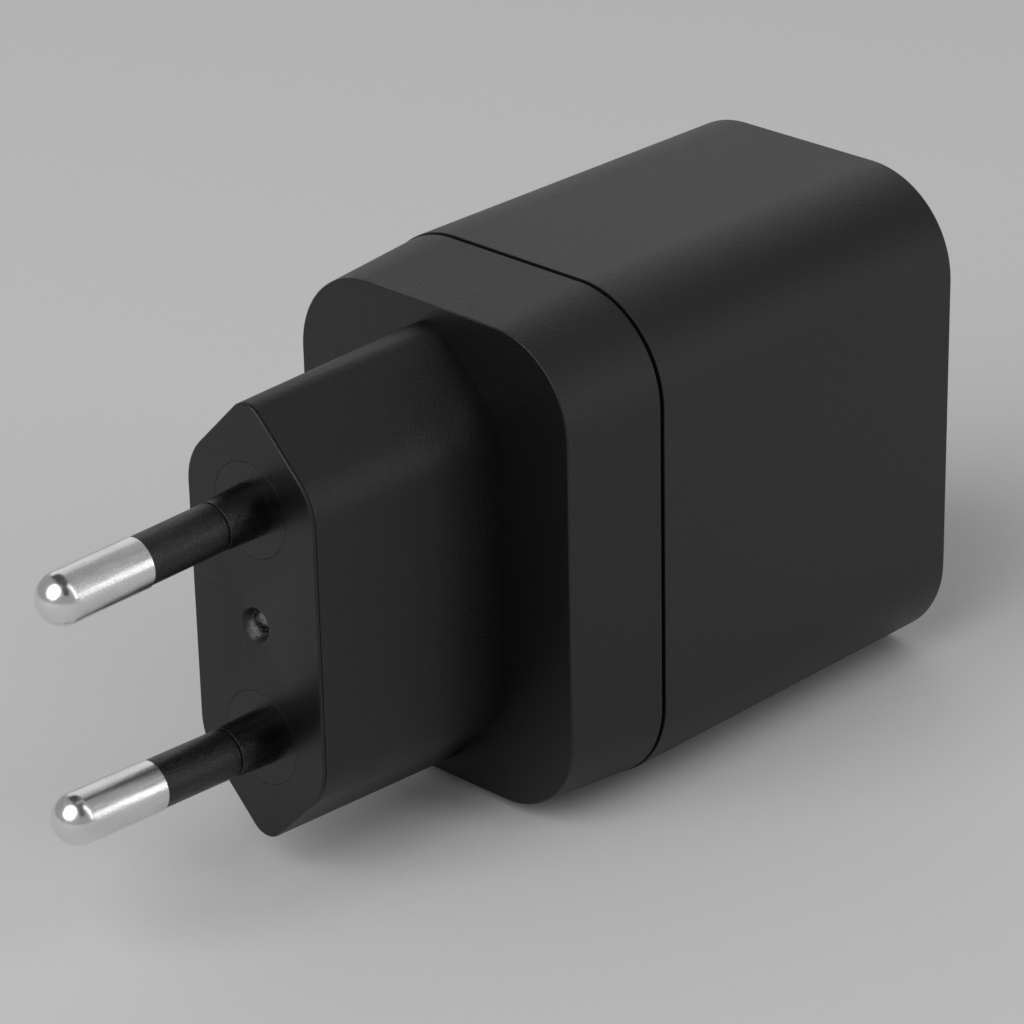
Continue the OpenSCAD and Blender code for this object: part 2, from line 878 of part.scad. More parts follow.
module usb_c_contacts() color("gold") {
    block_y1 = port_y - usb_c_len + usb_c_block_len;
    for (i = [-5.5:1:5.5], side = [-1, 1])
        translate([i * usb_c_pitch, block_y1, usb_c_z + side * (usb_c_tongue_t / 2 + 0.03)])
            translate([-0.13, 0, -0.03])
                cube([0.26, usb_c_tongue_len - 0.8, 0.06]);
    for (i = [-2:1:2])
        translate([0, port_y - usb_c_len - 0.3, usb_c_z + i * 0.5])
            box([board_top, 0, -0.12], [-1, 0.3, 0.12]);
}

// ---------------------------------------------------------------- assembly

front_cover();
main_housing();
pin_upper();
pin_lower();
pin_sleeve_upper();
pin_sleeve_lower();
pin_bush_upper();
pin_bush_lower();
lead_wire_upper();
lead_wire_lower();
main_board();
fuse();
varistor();
x_capacitor();
choke_core();
choke_windings();
choke_base();
bridge_rectifier();
bulk_capacitor_cans();
bulk_capacitor_sleeves();
capacitor_seals();
transformer_core_upper();
transformer_core_lower();
transformer_bobbin();
transformer_winding();
transformer_tape();
primary_controller();
power_transistor();
y_capacitor();
optocoupler();
sync_rectifier();
protocol_controller();
output_capacitor_cans();
chip_leads();
component_leads();
chip_capacitors();
chip_resistors();
heat_spreader();
thermal_pad();
insulating_sheet();
usb_a_shell();
usb_a_insulator();
usb_a_contacts();
usb_c_shell();
usb_c_insulator();
usb_c_contacts();
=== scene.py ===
"""USB wall charger: the visual model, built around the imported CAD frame.

Lengths in this script are in millimetres, in the row frame: the plug's face is at y = 0, the
pins point along -Y, +Z is up. mesh_object() turns them into metres.
"""

import json
import math

import bmesh
import bpy
from mathutils import Matrix, Vector, noise

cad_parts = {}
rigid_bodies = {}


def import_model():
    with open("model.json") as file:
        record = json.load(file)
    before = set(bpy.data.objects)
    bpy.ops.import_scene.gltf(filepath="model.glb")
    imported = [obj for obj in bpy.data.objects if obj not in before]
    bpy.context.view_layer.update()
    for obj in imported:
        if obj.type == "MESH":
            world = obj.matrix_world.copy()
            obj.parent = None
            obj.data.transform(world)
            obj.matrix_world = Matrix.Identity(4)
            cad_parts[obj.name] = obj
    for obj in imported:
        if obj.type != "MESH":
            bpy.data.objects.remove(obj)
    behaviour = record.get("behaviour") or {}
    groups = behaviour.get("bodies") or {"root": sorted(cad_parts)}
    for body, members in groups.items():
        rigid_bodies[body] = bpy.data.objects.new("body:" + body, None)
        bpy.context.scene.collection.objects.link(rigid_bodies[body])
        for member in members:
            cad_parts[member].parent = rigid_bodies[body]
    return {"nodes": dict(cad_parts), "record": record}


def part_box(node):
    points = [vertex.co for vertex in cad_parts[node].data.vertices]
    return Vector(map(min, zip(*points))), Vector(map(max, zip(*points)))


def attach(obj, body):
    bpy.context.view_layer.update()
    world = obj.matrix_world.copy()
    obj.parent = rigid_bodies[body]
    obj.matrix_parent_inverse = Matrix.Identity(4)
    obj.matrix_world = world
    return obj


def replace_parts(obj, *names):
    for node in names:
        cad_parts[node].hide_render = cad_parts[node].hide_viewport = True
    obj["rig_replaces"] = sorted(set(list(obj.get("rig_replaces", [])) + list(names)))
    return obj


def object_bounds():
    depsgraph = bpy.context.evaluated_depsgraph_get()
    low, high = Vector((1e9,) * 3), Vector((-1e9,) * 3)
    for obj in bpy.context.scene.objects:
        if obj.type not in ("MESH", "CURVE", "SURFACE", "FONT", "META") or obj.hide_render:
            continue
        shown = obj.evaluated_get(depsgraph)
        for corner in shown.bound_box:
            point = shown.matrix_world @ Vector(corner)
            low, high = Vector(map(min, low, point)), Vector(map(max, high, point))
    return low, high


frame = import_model()
cad_low, cad_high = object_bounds()

MM = 0.001


def span(node, axis):
    """(lowest, highest) of a CAD node along an axis, in millimetres."""
    low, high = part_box(node)
    return low[axis] / MM, high[axis] / MM


# ------------------------------------------------------------------ sizes from the frame

REAR_Y = span("main_housing", 1)[1]
BODY_HALF_W = span("main_housing", 0)[1]
BODY_HALF_H = span("main_housing", 2)[1]
SEAM_GAP = 0.3
SEAM_Y = span("main_housing", 1)[0] - SEAM_GAP / 2
LIP_END_Y = span("front_cover", 1)[1]
PORT_Y = span("usb_a_shell", 1)[1]
USB_A_BACK_Y = span("usb_a_insulator", 1)[0]
USB_C_BACK_Y = span("usb_c_insulator", 1)[0]
USB_A_Z = sum(span("usb_a_insulator", 2)) / 2
USB_C_Z = sum(span("usb_c_insulator", 2)) / 2
BOARD_TOP = span("main_board", 0)[1]

# ------------------------------------------------------------------ sizes of the object

BODY_R = 8.2
EDGE_X = BODY_HALF_W - BODY_R
EDGE_Z = BODY_HALF_H - BODY_R
WALL = 2.0
CAVITY_R = BODY_R - WALL
COVER_CAVITY_R = CAVITY_R - 0.6
REBATE_R = BODY_R - WALL / 2
LIP_R = REBATE_R - 0.05
SEAM_STEP = 0.1
COVER_R = BODY_R - SEAM_STEP
COVER_DRAFT = 0.8
COVER_WALL = 2.2
PLUG_LEN = 18.6
PLUG_W = 13.4
PLUG_H = 35.3
PLUG_DRAFT_W = 0.55
PLUG_DRAFT_H = 1.05
PLUG_CHAMFER = 5.95
PLUG_SIDE_R = 5.1
PLUG_END_R = 1.7
FACE_WALL = 2.4
NOSE_WALL = 2.0
NOSE_END_WALL = 2.4
NOSE_END_HALF = 0.6
PIN_SPACING = 18.6
PIN_LEN = 19.7
PIN_TILT = math.atan(0.6 / PIN_LEN)
PIN_R = 2.0
PIN_CORE_R = 1.6
PIN_FLANGE_R = 2.6
PIN_FLANGE_START = -5.55
PIN_FLANGE_END = -4.55
PIN_TAIL_R = 1.2
PIN_TAIL_END = -9.4
SLEEVE_R = 1.9
SLEEVE_END = 10.8
COLLAR_END = 3.6
COLLAR_ROOT_R = 2.08
COLLAR_TIP_R = 1.94
GROOVE_W = 0.07
GROOVE_R = 1.8
BUSH_R = 3.735
BUSH_HOLE_R = 3.75
BUSH_FLANGE_R = 4.3
BUSH_BACK = 4.2
DIMPLE_R = 1.35
DIMPLE_DEPTH = 0.55
GATE_RIM_R = DIMPLE_R + 0.15
GATE_WALL_RUN = 0.6
BOSS_OFFSET = 0.2
BOSS_TOP = 0.03
BOSS_STEEPNESS = 0.69
BOSS_BLEND = 0.06
FLOW_LINE_Z = 2.2
PARTING_START = 0.20
PARTING_END = 0.28
PARTING_DEPTH = 0.07
REBATE_DEPTH = 2.6
RAIL_T = 1.0
RAIL_LEN = 2.0
RAIL_OVERLAP = 0.6
RAIL_GAP = 0.05
RAIL_STARTS = (3.0, 19.4)

# Openings are (half width, half height, corner radius), and shells (half width, half height).
USB_A_OPENING = (6.65, 2.95, 0.7)
USB_A_HALF = (6.55, 2.85)
USB_A_BLOCK_LEN = 4.4
USB_A_TONGUE_LEN = 8.6
USB_A_TONGUE_T = 1.84
USB_A_TONGUE_HALF_W = 5.55
USB_A_TONGUE_RISE = 0.25
USB_A_CONTACT_XS = (-3.5, -1.0, 1.0, 3.5)
USB_A_SPRING_X = 3.1
USB_C_OPENING = (4.57, 1.68, 1.67)
USB_C_HALF = (4.47, 1.58)
USB_C_BLOCK_LEN = 2.8
USB_C_TONGUE_LEN = 4.6
USB_C_TONGUE_HALF_W = 3.345
USB_C_TONGUE_HALF_T = 0.35
USB_C_PITCH = 0.5
USB_C_CONTACTS = 12
USB_C_POWER_CONTACTS = (0, 3, 8, 11)
SHELL_T = 0.3
SHELL_FIT = 0.02

CORNER_STEPS = 28
NOSE_STEPS = 14
ROUND_STEPS = 96
DISH_STEPS = 44
DISH_SIDES = 96
TAN_EIGHTH = math.tan(math.radians(22.5))
SHARP_ANGLE = math.radians(32.0)


# ------------------------------------------------------------------ mesh helpers


def mesh_object(name, bm, material, nodes=()):
    """Turns a bmesh in millimetres into a piece that rides on the body and stands for CAD nodes."""
    bmesh.ops.recalc_face_normals(bm, faces=bm.faces)
    for face in bm.faces:
        face.smooth = True
    for edge in bm.edges:
        if len(edge.link_faces) == 2 and edge.calc_face_angle(0.0) > SHARP_ANGLE:
            edge.smooth = False
    mesh = bpy.data.meshes.new(name)
    bm.to_mesh(mesh)
    bm.free()
    mesh.transform(Matrix.Scale(MM, 4))
    piece = bpy.data.objects.new(name, mesh)
    bpy.context.scene.collection.objects.link(piece)
    piece.data.materials.append(material)
    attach(piece, "root")
    if nodes:
        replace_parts(piece, *nodes)
    return piece


def add_ring(bm, points):
    """Vertices at a ring's points."""
    return [bm.verts.new(point) for point in points]


def bridge(bm, ring_a, ring_b):
    """Quads between two rings of the same length."""
    count = len(ring_a)
    for i in range(count):
        j = (i + 1) % count
        bm.faces.new((ring_a[i], ring_a[j], ring_b[j], ring_b[i]))


def loft(bm, rings):
    """Joins the rings in order, and returns their vertices."""
    made = [add_ring(bm, ring) for ring in rings]
    for ring_a, ring_b in zip(made, made[1:]):
        bridge(bm, ring_a, ring_b)
    return made


def closed_loft(bm, rings):
    """A loft whose last ring joins its first, such as a tube with a wall."""
    made = loft(bm, rings)
    bridge(bm, made[-1], made[0])
    return made


def solid_loft(bm, rings):
    """A loft with a flat face at each of its ends."""
    made = loft(bm, rings)
    bm.faces.new(made[0])
    bm.faces.new(list(reversed(made[-1])))


def cap(bm, ring, point):
    """Closes a ring with a fan of triangles to a point."""
    tip = bm.verts.new(point)
    count = len(ring)
    for i in range(count):
        bm.faces.new((ring[i], ring[(i + 1) % count], tip))


def fill(bm, rings):
    """Fills a flat region between an outer ring and the rings of its holes."""
    edges = []
    for ring in rings:
        for i, vert in enumerate(ring):
            other = ring[(i + 1) % len(ring)]
            edges.append(bm.edges.get((vert, other)) or bm.edges.new((vert, other)))
    bmesh.ops.triangle_fill(bm, use_beauty=True, use_dissolve=False, edges=edges)


def rounded_path(points, radii, steps=6, support=0.1):
    """A polyline of (along, out) points with its corners rounded.

    radii gives the radius of each corner by its index. A point is added a little before and
    after each round, so that the flats next to it stay flat when they are shaded smooth.
    """
    path = []
    for i, point in enumerate(points):
        radius = radii.get(i, 0.0)
        if not radius:
            path.append(point)
            continue
        corner = Vector(point)
        before = (Vector(points[i - 1]) - corner).normalized()
        after = (Vector(points[i + 1]) - corner).normalized()
        half = before.angle(after) / 2
        reach = radius / math.tan(half)
        centre = corner + (before + after).normalized() * (radius / math.sin(half))
        first = corner + before * reach
        last = corner + after * reach
        a0 = math.atan2(first.y - centre.y, first.x - centre.x)
        a1 = math.atan2(last.y - centre.y, last.x - centre.x)
        turn = (a1 - a0 + math.pi) % (2 * math.pi) - math.pi
        path.append(tuple(first + before * support))
        for k in range(steps + 1):
            angle = a0 + turn * k / steps
            path.append((centre.x + radius * math.cos(angle), centre.y + radius * math.sin(angle)))
        path.append(tuple(last + after * support))
    return path


def arc(x, z, radius, start, end, steps):
    """Points (x, z) along an arc, angles in degrees."""
    angles = [math.radians(start + (end - start) * i / steps) for i in range(steps + 1)]
    return [(x + radius * math.cos(a), z + radius * math.sin(a)) for a in angles]


def at_y(outline, y):
    """An outline of (x, z) points as a ring at one y."""
    return [Vector((x, y, z)) for x, z in outline]


# ------------------------------------------------------------------ outlines


def body_ring(radius, y):
    """A section of the body: all of them share the centres of the four long edges."""
    outline = []
    for quarter, (sx, sz) in enumerate(((1, 1), (-1, 1), (-1, -1), (1, -1))):
        start = 90 * quarter
        outline += arc(sx * EDGE_X, sz * EDGE_Z, radius, start, start + 90, CORNER_STEPS)
    made = []
    per_corner = CORNER_STEPS + 1
    for i, (x, z) in enumerate(outline):
        made.append((x, z))
        if (i + 1) % per_corner == 0:
            nx, nz = outline[(i + 1) % len(outline)]
            for share in (0.02, 0.5, 0.98):
                made.append((x + (nx - x) * share, z + (nz - z) * share))
    return at_y(made, y)


def nose_ring(y, inset=0.0):
    """A section of the nose, drafted along Y and drawn in by inset on every side."""
    share = y / PLUG_LEN
    half_w = (PLUG_W + PLUG_DRAFT_W * share) / 2 - inset
    half_h = (PLUG_H + PLUG_DRAFT_H * share) / 2 - inset
    leg = PLUG_CHAMFER - inset * (2 - math.sqrt(2))
    side_r = PLUG_SIDE_R - inset
    end_r = PLUG_END_R - inset
    side = arc(half_w - side_r, half_h - leg - side_r * TAN_EIGHTH, side_r, 0, 45, NOSE_STEPS)
    end = arc(half_w - leg - end_r * TAN_EIGHTH, half_h - end_r, end_r, 45, 90, NOSE_STEPS)
    flat = [lerp2(side[-1], end[0], place) for place in (0.03, 0.97)]
    quarter = side + flat + end
    half = quarter + [(-x, z) for x, z in reversed(quarter)]
    half = [lerp2(half[0], (half[0][0], 0.0), 0.03)] + half
    half = half + [lerp2(half[-1], (half[-1][0], 0.0), 0.03)]
    outline = half + [(-x, -z) for x, z in half]
    return at_y(outline, y)


def lerp2(a, b, share):
    """The (x, z) point that lies a share of the way from a to b."""
    return a[0] + (b[0] - a[0]) * share, a[1] + (b[1] - a[1]) * share


def hollow_ring(y):
    """The nose's inside: chamfered, with sharp corners."""
    half_w = PLUG_W / 2 - NOSE_WALL
    half_h = PLUG_H / 2 - NOSE_END_WALL
    leg = half_w - NOSE_END_HALF
    quarter = [(half_w, half_h - leg), (NOSE_END_HALF, half_h)]
    half = quarter + [(-x, z) for x, z in reversed(quarter)]
    return at_y(half + [(-x, -z) for x, z in half], y)


def circle_ring(z, y, radius, steps=ROUND_STEPS):
    """A circle about an axis along Y."""
    angles = [2 * math.pi * i / steps for i in range(steps)]
    return [Vector((radius * math.cos(a), y, z + radius * math.sin(a))) for a in angles]


def pin_ring(side, along, radius, steps=ROUND_STEPS):
    """A circle about a pin's own axis, at a distance along it from the plug's face."""
    axis = Vector((0, -math.cos(PIN_TILT), -side * math.sin(PIN_TILT)))
    across = Vector((0, -axis.z, axis.y)) * -1
    centre = Vector((0, 0, side * PIN_SPACING / 2)) + axis * along
    angles = [2 * math.pi * i / steps for i in range(steps)]
    sideways = Vector((1, 0, 0))
    return [centre + sideways * (radius * math.cos(a)) + across * (radius * math.sin(a)) for a in angles]


def slot_ring(y, z, half_w, half_h, radius, steps=10):
    """A rectangle with round corners, centred on x = 0."""
    outline = []
    for quarter, (sx, sz) in enumerate(((1, 1), (-1, 1), (-1, -1), (1, -1))):
        start = 90 * quarter
        outline += arc(
            sx * (half_w - radius), z + sz * (half_h - radius), radius, start, start + 90, steps
        )
    return at_y(outline, y)


def box_bmesh(bm, low, high, bevel=0.0):
    """Adds a box between two corners, with its edges rounded."""
    made = bmesh.ops.create_cube(bm, size=1.0)["verts"]
    low, high = Vector(low), Vector(high)
    size = high - low
    middle = (high + low) / 2
    for vert in made:
        vert.co = Vector((vert.co.x * size.x, vert.co.y * size.y, vert.co.z * size.z)) + middle
    if bevel:
        edges = {edge for vert in made for edge in vert.link_edges}
        bmesh.ops.bevel(
            bm, geom=list(edges), offset=bevel, segments=2, profile=0.5, affect="EDGES"
        )


# ------------------------------------------------------------------ material helpers


class Nodes:
    """A short way to build a node material."""

    def __init__(self, name):
        self.material = bpy.data.materials.new(name)
        self.material.use_nodes = True
        self.tree = self.material.node_tree
        self.shader = self.tree.nodes["Principled BSDF"]
        self.coords = self.tree.nodes.new("ShaderNodeTexCoord").outputs["Object"]

    def add(self, kind, **settings):
        node = self.tree.nodes.new(kind)
        for key, value in settings.items():
            setattr(node, key, value)
        return node

    def link(self, source, target):
        self.tree.links.new(source, target)

    def mapped(self, scale, rotation=(0, 0, 0)):
        mapping = self.add("ShaderNodeMapping")
        mapping.inputs["Scale"].default_value = scale
        mapping.inputs["Rotation"].default_value = rotation
        self.link(self.coords, mapping.inputs["Vector"])
        return mapping.outputs["Vector"]

    def position(self):
        """The x, y and z of the point being shaded, in metres."""
        separate = self.add("ShaderNodeSeparateXYZ")
        self.link(self.coords, separate.inputs["Vector"])
        return separate.outputs["X"], separate.outputs["Y"], separate.outputs["Z"]

    def noise(self, scale, detail=2.0, roughness=0.5, vector=None, distortion=0.0):
        node = self.add("ShaderNodeTexNoise")
        node.inputs["Scale"].default_value = scale
        node.inputs["Detail"].default_value = detail
        node.inputs["Roughness"].default_value = roughness
        node.inputs["Distortion"].default_value = distortion
        self.link(vector or self.coords, node.inputs["Vector"])
        return node.outputs["Fac"]

    def voronoi(self, scale, feature="F1"):
        node = self.add("ShaderNodeTexVoronoi", feature=feature)
        node.inputs["Scale"].default_value = scale
        self.link(self.coords, node.inputs["Vector"])
        return node.outputs["Distance"]

    def ramp(self, source, low, high, out_low=0.0, out_high=1.0):
        node = self.add("ShaderNodeMapRange")
        node.inputs["From Min"].default_value = low
        node.inputs["From Max"].default_value = high
        node.inputs["To Min"].default_value = out_low
        node.inputs["To Max"].default_value = out_high
        self.link(source, node.inputs["Value"])
        return node.outputs["Result"]

    def math(self, operation, a, b=None):
        node = self.add("ShaderNodeMath", operation=operation)
        for socket, value in zip(node.inputs, (a, b)):
            if value is None:
                continue
            if isinstance(value, (int, float)):
                socket.default_value = value
            else:
                self.link(value, socket)
        return node.outputs["Value"]

    def mix_colour(self, factor, a, b):
        node = self.add("ShaderNodeMix", data_type="RGBA")
        self.link(factor, node.inputs["Factor"])
        for name, value in (("A", a), ("B", b)):
            socket = next(s for s in node.inputs if s.name == name and s.type == "RGBA")
            if isinstance(value, tuple):
                socket.default_value = (*value, 1.0)
            else:
                self.link(value, socket)
        return next(s for s in node.outputs if s.type == "RGBA")

    def bump(self, height, strength, distance):
        node = self.add("ShaderNodeBump")
        node.inputs["Strength"].default_value = strength
        node.inputs["Distance"].default_value = distance
        self.link(height, node.inputs["Height"])
        return node.outputs["Normal"]

    def set(self, **values):
        """Sets or links the shader's inputs, whose names have spaces in place of underscores."""
        for key, value in values.items():
            socket = self.shader.inputs[key.replace("_", " ")]
            if hasattr(value, "is_linked"):
                self.link(value, socket)
            elif isinstance(value, tuple):
                socket.default_value = (*value, 1.0)
            else:
                socket.default_value = value
        return self.material


# ------------------------------------------------------------------ materials


def near_edges(n, height, edges, reach):
    """One beside any of the heights in edges, falling to nothing at reach from it."""
    total = None
    for edge in edges:
        away = n.math("ABSOLUTE", n.math("SUBTRACT", height, edge * MM))
        near = n.ramp(away, 0.0, reach * MM, 1.0, 0.0)
        total = near if total is None else n.math("MAXIMUM", total, near)
    return total


def gate_marks(n):
    """The mould's gate: (one inside its dish, and a patchy mask on the dish's upper right and lower left,
    where light colour is painted as a highlight).
    """
    across, along, up = n.position()
    off_centre = n.math("ADD", n.math("MULTIPLY", across, across), n.math("MULTIPLY", up, up))
    gate = n.ramp(n.math("SQRT", off_centre), DIMPLE_R * 0.8 * MM, DIMPLE_R * MM, 1.0, 0.0)
    gate = n.math("MULTIPLY", gate, n.ramp(along, 1.0 * MM, 1.1 * MM, 1.0, 0.0))
    far_along_diagonal = n.ramp(n.math("ABSOLUTE", n.math("ADD", across, up)), 0.6 * MM, 1.2 * MM)
    beside = n.ramp(n.math("ABSOLUTE", n.math("SUBTRACT", across, up)), 0.5 * MM, 1.3 * MM, 1.0, 0.0)
    patchy = n.ramp(n.noise(2600.0, detail=4.0, roughness=0.7), 0.38, 0.58, 0.35, 1.0)
    # Patches on the dish's upper right and lower left, away from its centre: a painted highlight.
    gate_highlight = n.math("MULTIPLY", n.math("MULTIPLY", far_along_diagonal, beside), gate)
    return gate, n.math("MULTIPLY", gate_highlight, patchy)


def shell_plastic():
    """Black plastic with a fine spark-eroded grain, a little glossier along its edges, with a lighter colour
    painted there as an edge highlight.

    The plug's face is smoother, and has the faint line where the plastic met above the gate.
    """
    n = Nodes("shell_plastic")
    _, along, up = n.position()
    behind_face = n.ramp(along, 0.02 * MM, 0.25 * MM)
    grain = n.noise(9500.0, detail=2.0, roughness=0.6)
    pits = n.voronoi(7500.0)
    cloud = n.noise(60.0, detail=4.0)

    height = n.math("ADD", n.math("MULTIPLY", grain, 0.5), n.math("MULTIPLY", pits, 0.5))
    height = n.math("MULTIPLY", height, n.ramp(behind_face, 0.0, 1.0, 0.12, 1.0))
    flow = near_edges(n, up, (FLOW_LINE_Z,), 0.5)
    flow = n.math("MULTIPLY", flow, n.ramp(behind_face, 0.0, 1.0, 0.35, 0.0))
    height = n.math("SUBTRACT", height, flow)

    edge_gloss_and_highlight = near_edges(n, along, (0.12, PLUG_LEN + 0.13, SEAM_Y, REAR_Y - 0.13), 0.11)
    edge_gloss_and_highlight = n.math("MULTIPLY", edge_gloss_and_highlight, n.ramp(n.noise(420.0, detail=4.0), 0.40, 0.62))
    gate, gate_highlight = gate_marks(n)
    speck = n.math("MULTIPLY", n.ramp(grain, 0.62, 0.8), 0.3)
    colour = n.mix_colour(n.ramp(cloud, 0.3, 0.7), (0.0014, 0.0014, 0.00145), (0.0024, 0.0024, 0.00245))
    colour = n.mix_colour(speck, colour, (0.010, 0.010, 0.0102))
    # Lighter colour along the edges, in patches: a painted edge highlight.
    colour = n.mix_colour(n.math("MULTIPLY", edge_gloss_and_highlight, 0.4), colour, (0.009, 0.009, 0.0092))
    # Light colour on the gate's dish at upper right and lower left: a painted highlight.
    colour = n.mix_colour(gate_highlight, colour, (0.20, 0.20, 0.20))

    rough = n.math("ADD", n.ramp(cloud, 0.25, 0.75, 0.39, 0.43), n.ramp(grain, 0.3, 0.7, -0.04, 0.05))
    rough = n.math("SUBTRACT", rough, n.math("MULTIPLY", edge_gloss_and_highlight, 0.07))
    fronts = near_edges(n, along, (0.0, PLUG_LEN), 0.12)
    rough = n.math("SUBTRACT", rough, n.math("MULTIPLY", fronts, 0.10))
    rough = n.math("SUBTRACT", rough, n.math("MULTIPLY", gate, 0.23))
    return n.set(
        Base_Color=colour, Roughness=rough, IOR=1.49,
        Normal=n.bump(height, 1.0, 0.045 * MM),
    )


def sleeve_plastic():
    """The pins' black insulation, scuffed on the slant where the pins turn in a socket."""
    n = Nodes("sleeve_plastic")
    slanted = n.mapped((1.0, 0.25, 1.0), (math.radians(25), 0.0, math.radians(20)))
    rubs = n.noise(2600.0, detail=4.0, roughness=0.7, vector=slanted)
    grain = n.noise(7000.0, detail=2.0, roughness=0.6)
    _, along, _ = n.position()
    past_collar = n.ramp(along, -(COLLAR_END + 0.6) * MM, -COLLAR_END * MM, 1.0, 0.15)
    scuffs = n.ramp(n.noise(800.0, detail=6.0, roughness=0.75, vector=slanted), 0.48, 0.68)
    scuffs = n.math("MULTIPLY", scuffs, past_collar)
    # Light flecks on the sleeve past the collar: painted glints.
    glint_flecks = n.math("MULTIPLY", n.ramp(n.noise(6500.0, detail=2.0), 0.58, 0.68), past_collar)
    colour = n.mix_colour(n.math("MULTIPLY", scuffs, 0.6), (0.0013, 0.0013, 0.00135), (0.009, 0.009, 0.0092))
    colour = n.mix_colour(n.math("MULTIPLY", glint_flecks, 0.7), colour, (0.05, 0.05, 0.051))
    rough = n.math("ADD", n.ramp(rubs, 0.3, 0.7, 0.26, 0.42), n.math("MULTIPLY", scuffs, 0.12))
    rough = n.math("ADD", rough, n.ramp(past_collar, 0.15, 1.0, -0.09, 0.0))
    height = n.math("ADD", n.math("MULTIPLY", grain, 0.55), n.math("MULTIPLY", rubs, 0.45))
    height = n.math("MULTIPLY", height, n.ramp(past_collar, 0.15, 1.0, 0.5, 1.0))
    return n.set(
        Base_Color=colour, Roughness=rough, IOR=1.5,
        Normal=n.bump(height, 1.0, 0.07 * MM),
    )


def nickel():
    """Nickel plate over turned brass: polishing lines along the pin, and hazy with rubbing."""
    n = Nodes("nickel")
    lines = n.noise(3600.0, detail=3.0, roughness=0.6, vector=n.mapped((1.0, 0.10, 1.0)))
    grain = n.noise(6500.0, detail=2.0, roughness=0.6)
    haze = n.noise(350.0, detail=5.0, roughness=0.65)
    slanted = n.mapped((1.0, 0.04, 1.0), (0.0, 0.0, 0.35))
    scratch = n.ramp(n.noise(1500.0, detail=1.0, vector=slanted), 0.66, 0.7)
    colour = n.mix_colour(n.ramp(haze, 0.3, 0.7), (0.72, 0.72, 0.72), (0.82, 0.82, 0.82))
    rough = n.math("ADD", n.ramp(lines, 0.3, 0.7, 0.20, 0.32), n.math("MULTIPLY", scratch, 0.08))
    _, along, _ = n.position()
    dome_y = -(PIN_LEN - PIN_R) * MM
    turned = n.ramp(along, dome_y - 0.5 * MM, dome_y + 0.5 * MM, 0.78, 1.0)
    rough = n.math("MULTIPLY", rough, turned)
    height = n.math("ADD", n.math("MULTIPLY", lines, 0.5), n.math("MULTIPLY", grain, 0.5))
    height = n.math("MULTIPLY", height, turned)
    return n.set(
        Base_Color=colour, Metallic=1.0, Roughness=rough,
        Normal=n.bump(height, 0.7, 0.022 * MM),
    )


def port_steel():
    """Nickel-plated folded steel, rolled lines along the plug's travel."""
    n = Nodes("port_steel")
    lines = n.noise(2400.0, detail=3.0, vector=n.mapped((1.0, 0.06, 1.0)))
    haze = n.noise(500.0, detail=3.0)
    colour = n.mix_colour(n.ramp(haze, 0.3, 0.7), (0.52, 0.52, 0.53), (0.64, 0.64, 0.64))
    return n.set(
        Base_Color=colour, Metallic=1.0, Roughness=n.ramp(lines, 0.3, 0.7, 0.26, 0.40),
        Normal=n.bump(haze, 0.1, 0.004 * MM),
    )


def gold():
    """Gold plate on the ports' contacts, slightly uneven in tone and gloss."""
    n = Nodes("gold")
    haze = n.noise(900.0, detail=3.0)
    colour = n.mix_colour(n.ramp(haze, 0.3, 0.7), (0.83, 0.58, 0.22), (0.92, 0.68, 0.30))
    return n.set(
        Base_Color=colour, Metallic=1.0, Roughness=n.ramp(haze, 0.3, 0.7, 0.2, 0.32),
        Normal=n.bump(haze, 0.1, 0.004 * MM),
    )


def port_plastic():
    """The ports' black tongue: smooth, with the faint flow lines of a filled polymer."""
    n = Nodes("port_plastic")
    flow = n.noise(1200.0, detail=4.0, vector=n.mapped((1.0, 0.3, 1.0)), distortion=0.6)
    colour = n.mix_colour(n.ramp(flow, 0.3, 0.7), (0.014, 0.014, 0.015), (0.022, 0.022, 0.023))
    return n.set(
        Base_Color=colour, Roughness=n.ramp(flow, 0.3, 0.7, 0.36, 0.5), IOR=1.55,
        Normal=n.bump(flow, 0.2, 0.008 * MM),
    )


def mottled(name, dark, light, rough=(0.4, 0.55), scale=1500.0, stretch=(1, 1, 1), metal=0.0, bump=0.2):
    """A plain finish with its own grain: two tones, an uneven gloss and a fine relief."""
    n = Nodes(name)
    grain = n.noise(scale, detail=3.0, roughness=0.6, vector=n.mapped(stretch))
    patches = n.noise(scale / 8, detail=3.0)
    tone = n.math("ADD", n.math("MULTIPLY", grain, 0.5), n.math("MULTIPLY", patches, 0.5))
    colour = n.mix_colour(n.ramp(tone, 0.35, 0.65), dark, light)
    return n.set(
        Base_Color=colour, Metallic=metal, Roughness=n.ramp(grain, 0.3, 0.7, *rough),
        Normal=n.bump(grain, bump, 0.01 * MM),
    )


def board_material():
    """Green solder mask over copper tracks, which show as slightly raised, lighter lines."""
    n = Nodes("board")
    tracks = n.ramp(n.voronoi(420.0, feature="DISTANCE_TO_EDGE"), 0.02, 0.05, 1.0, 0.0)
    weave = n.noise(2500.0, detail=2.0)
    colour = n.mix_colour(n.math("MULTIPLY", tracks, 0.55), (0.006, 0.055, 0.022), (0.03, 0.17, 0.06))
    colour = n.mix_colour(n.ramp(weave, 0.55, 0.8, 0.0, 0.25), colour, (0.02, 0.10, 0.04))
    height = n.math("ADD", n.math("MULTIPLY", tracks, 0.8), n.math("MULTIPLY", weave, 0.2))
    return n.set(
        Base_Color=colour, Roughness=n.ramp(weave, 0.3, 0.7, 0.22, 0.36),
        Normal=n.bump(height, 0.4, 0.02 * MM),
    )


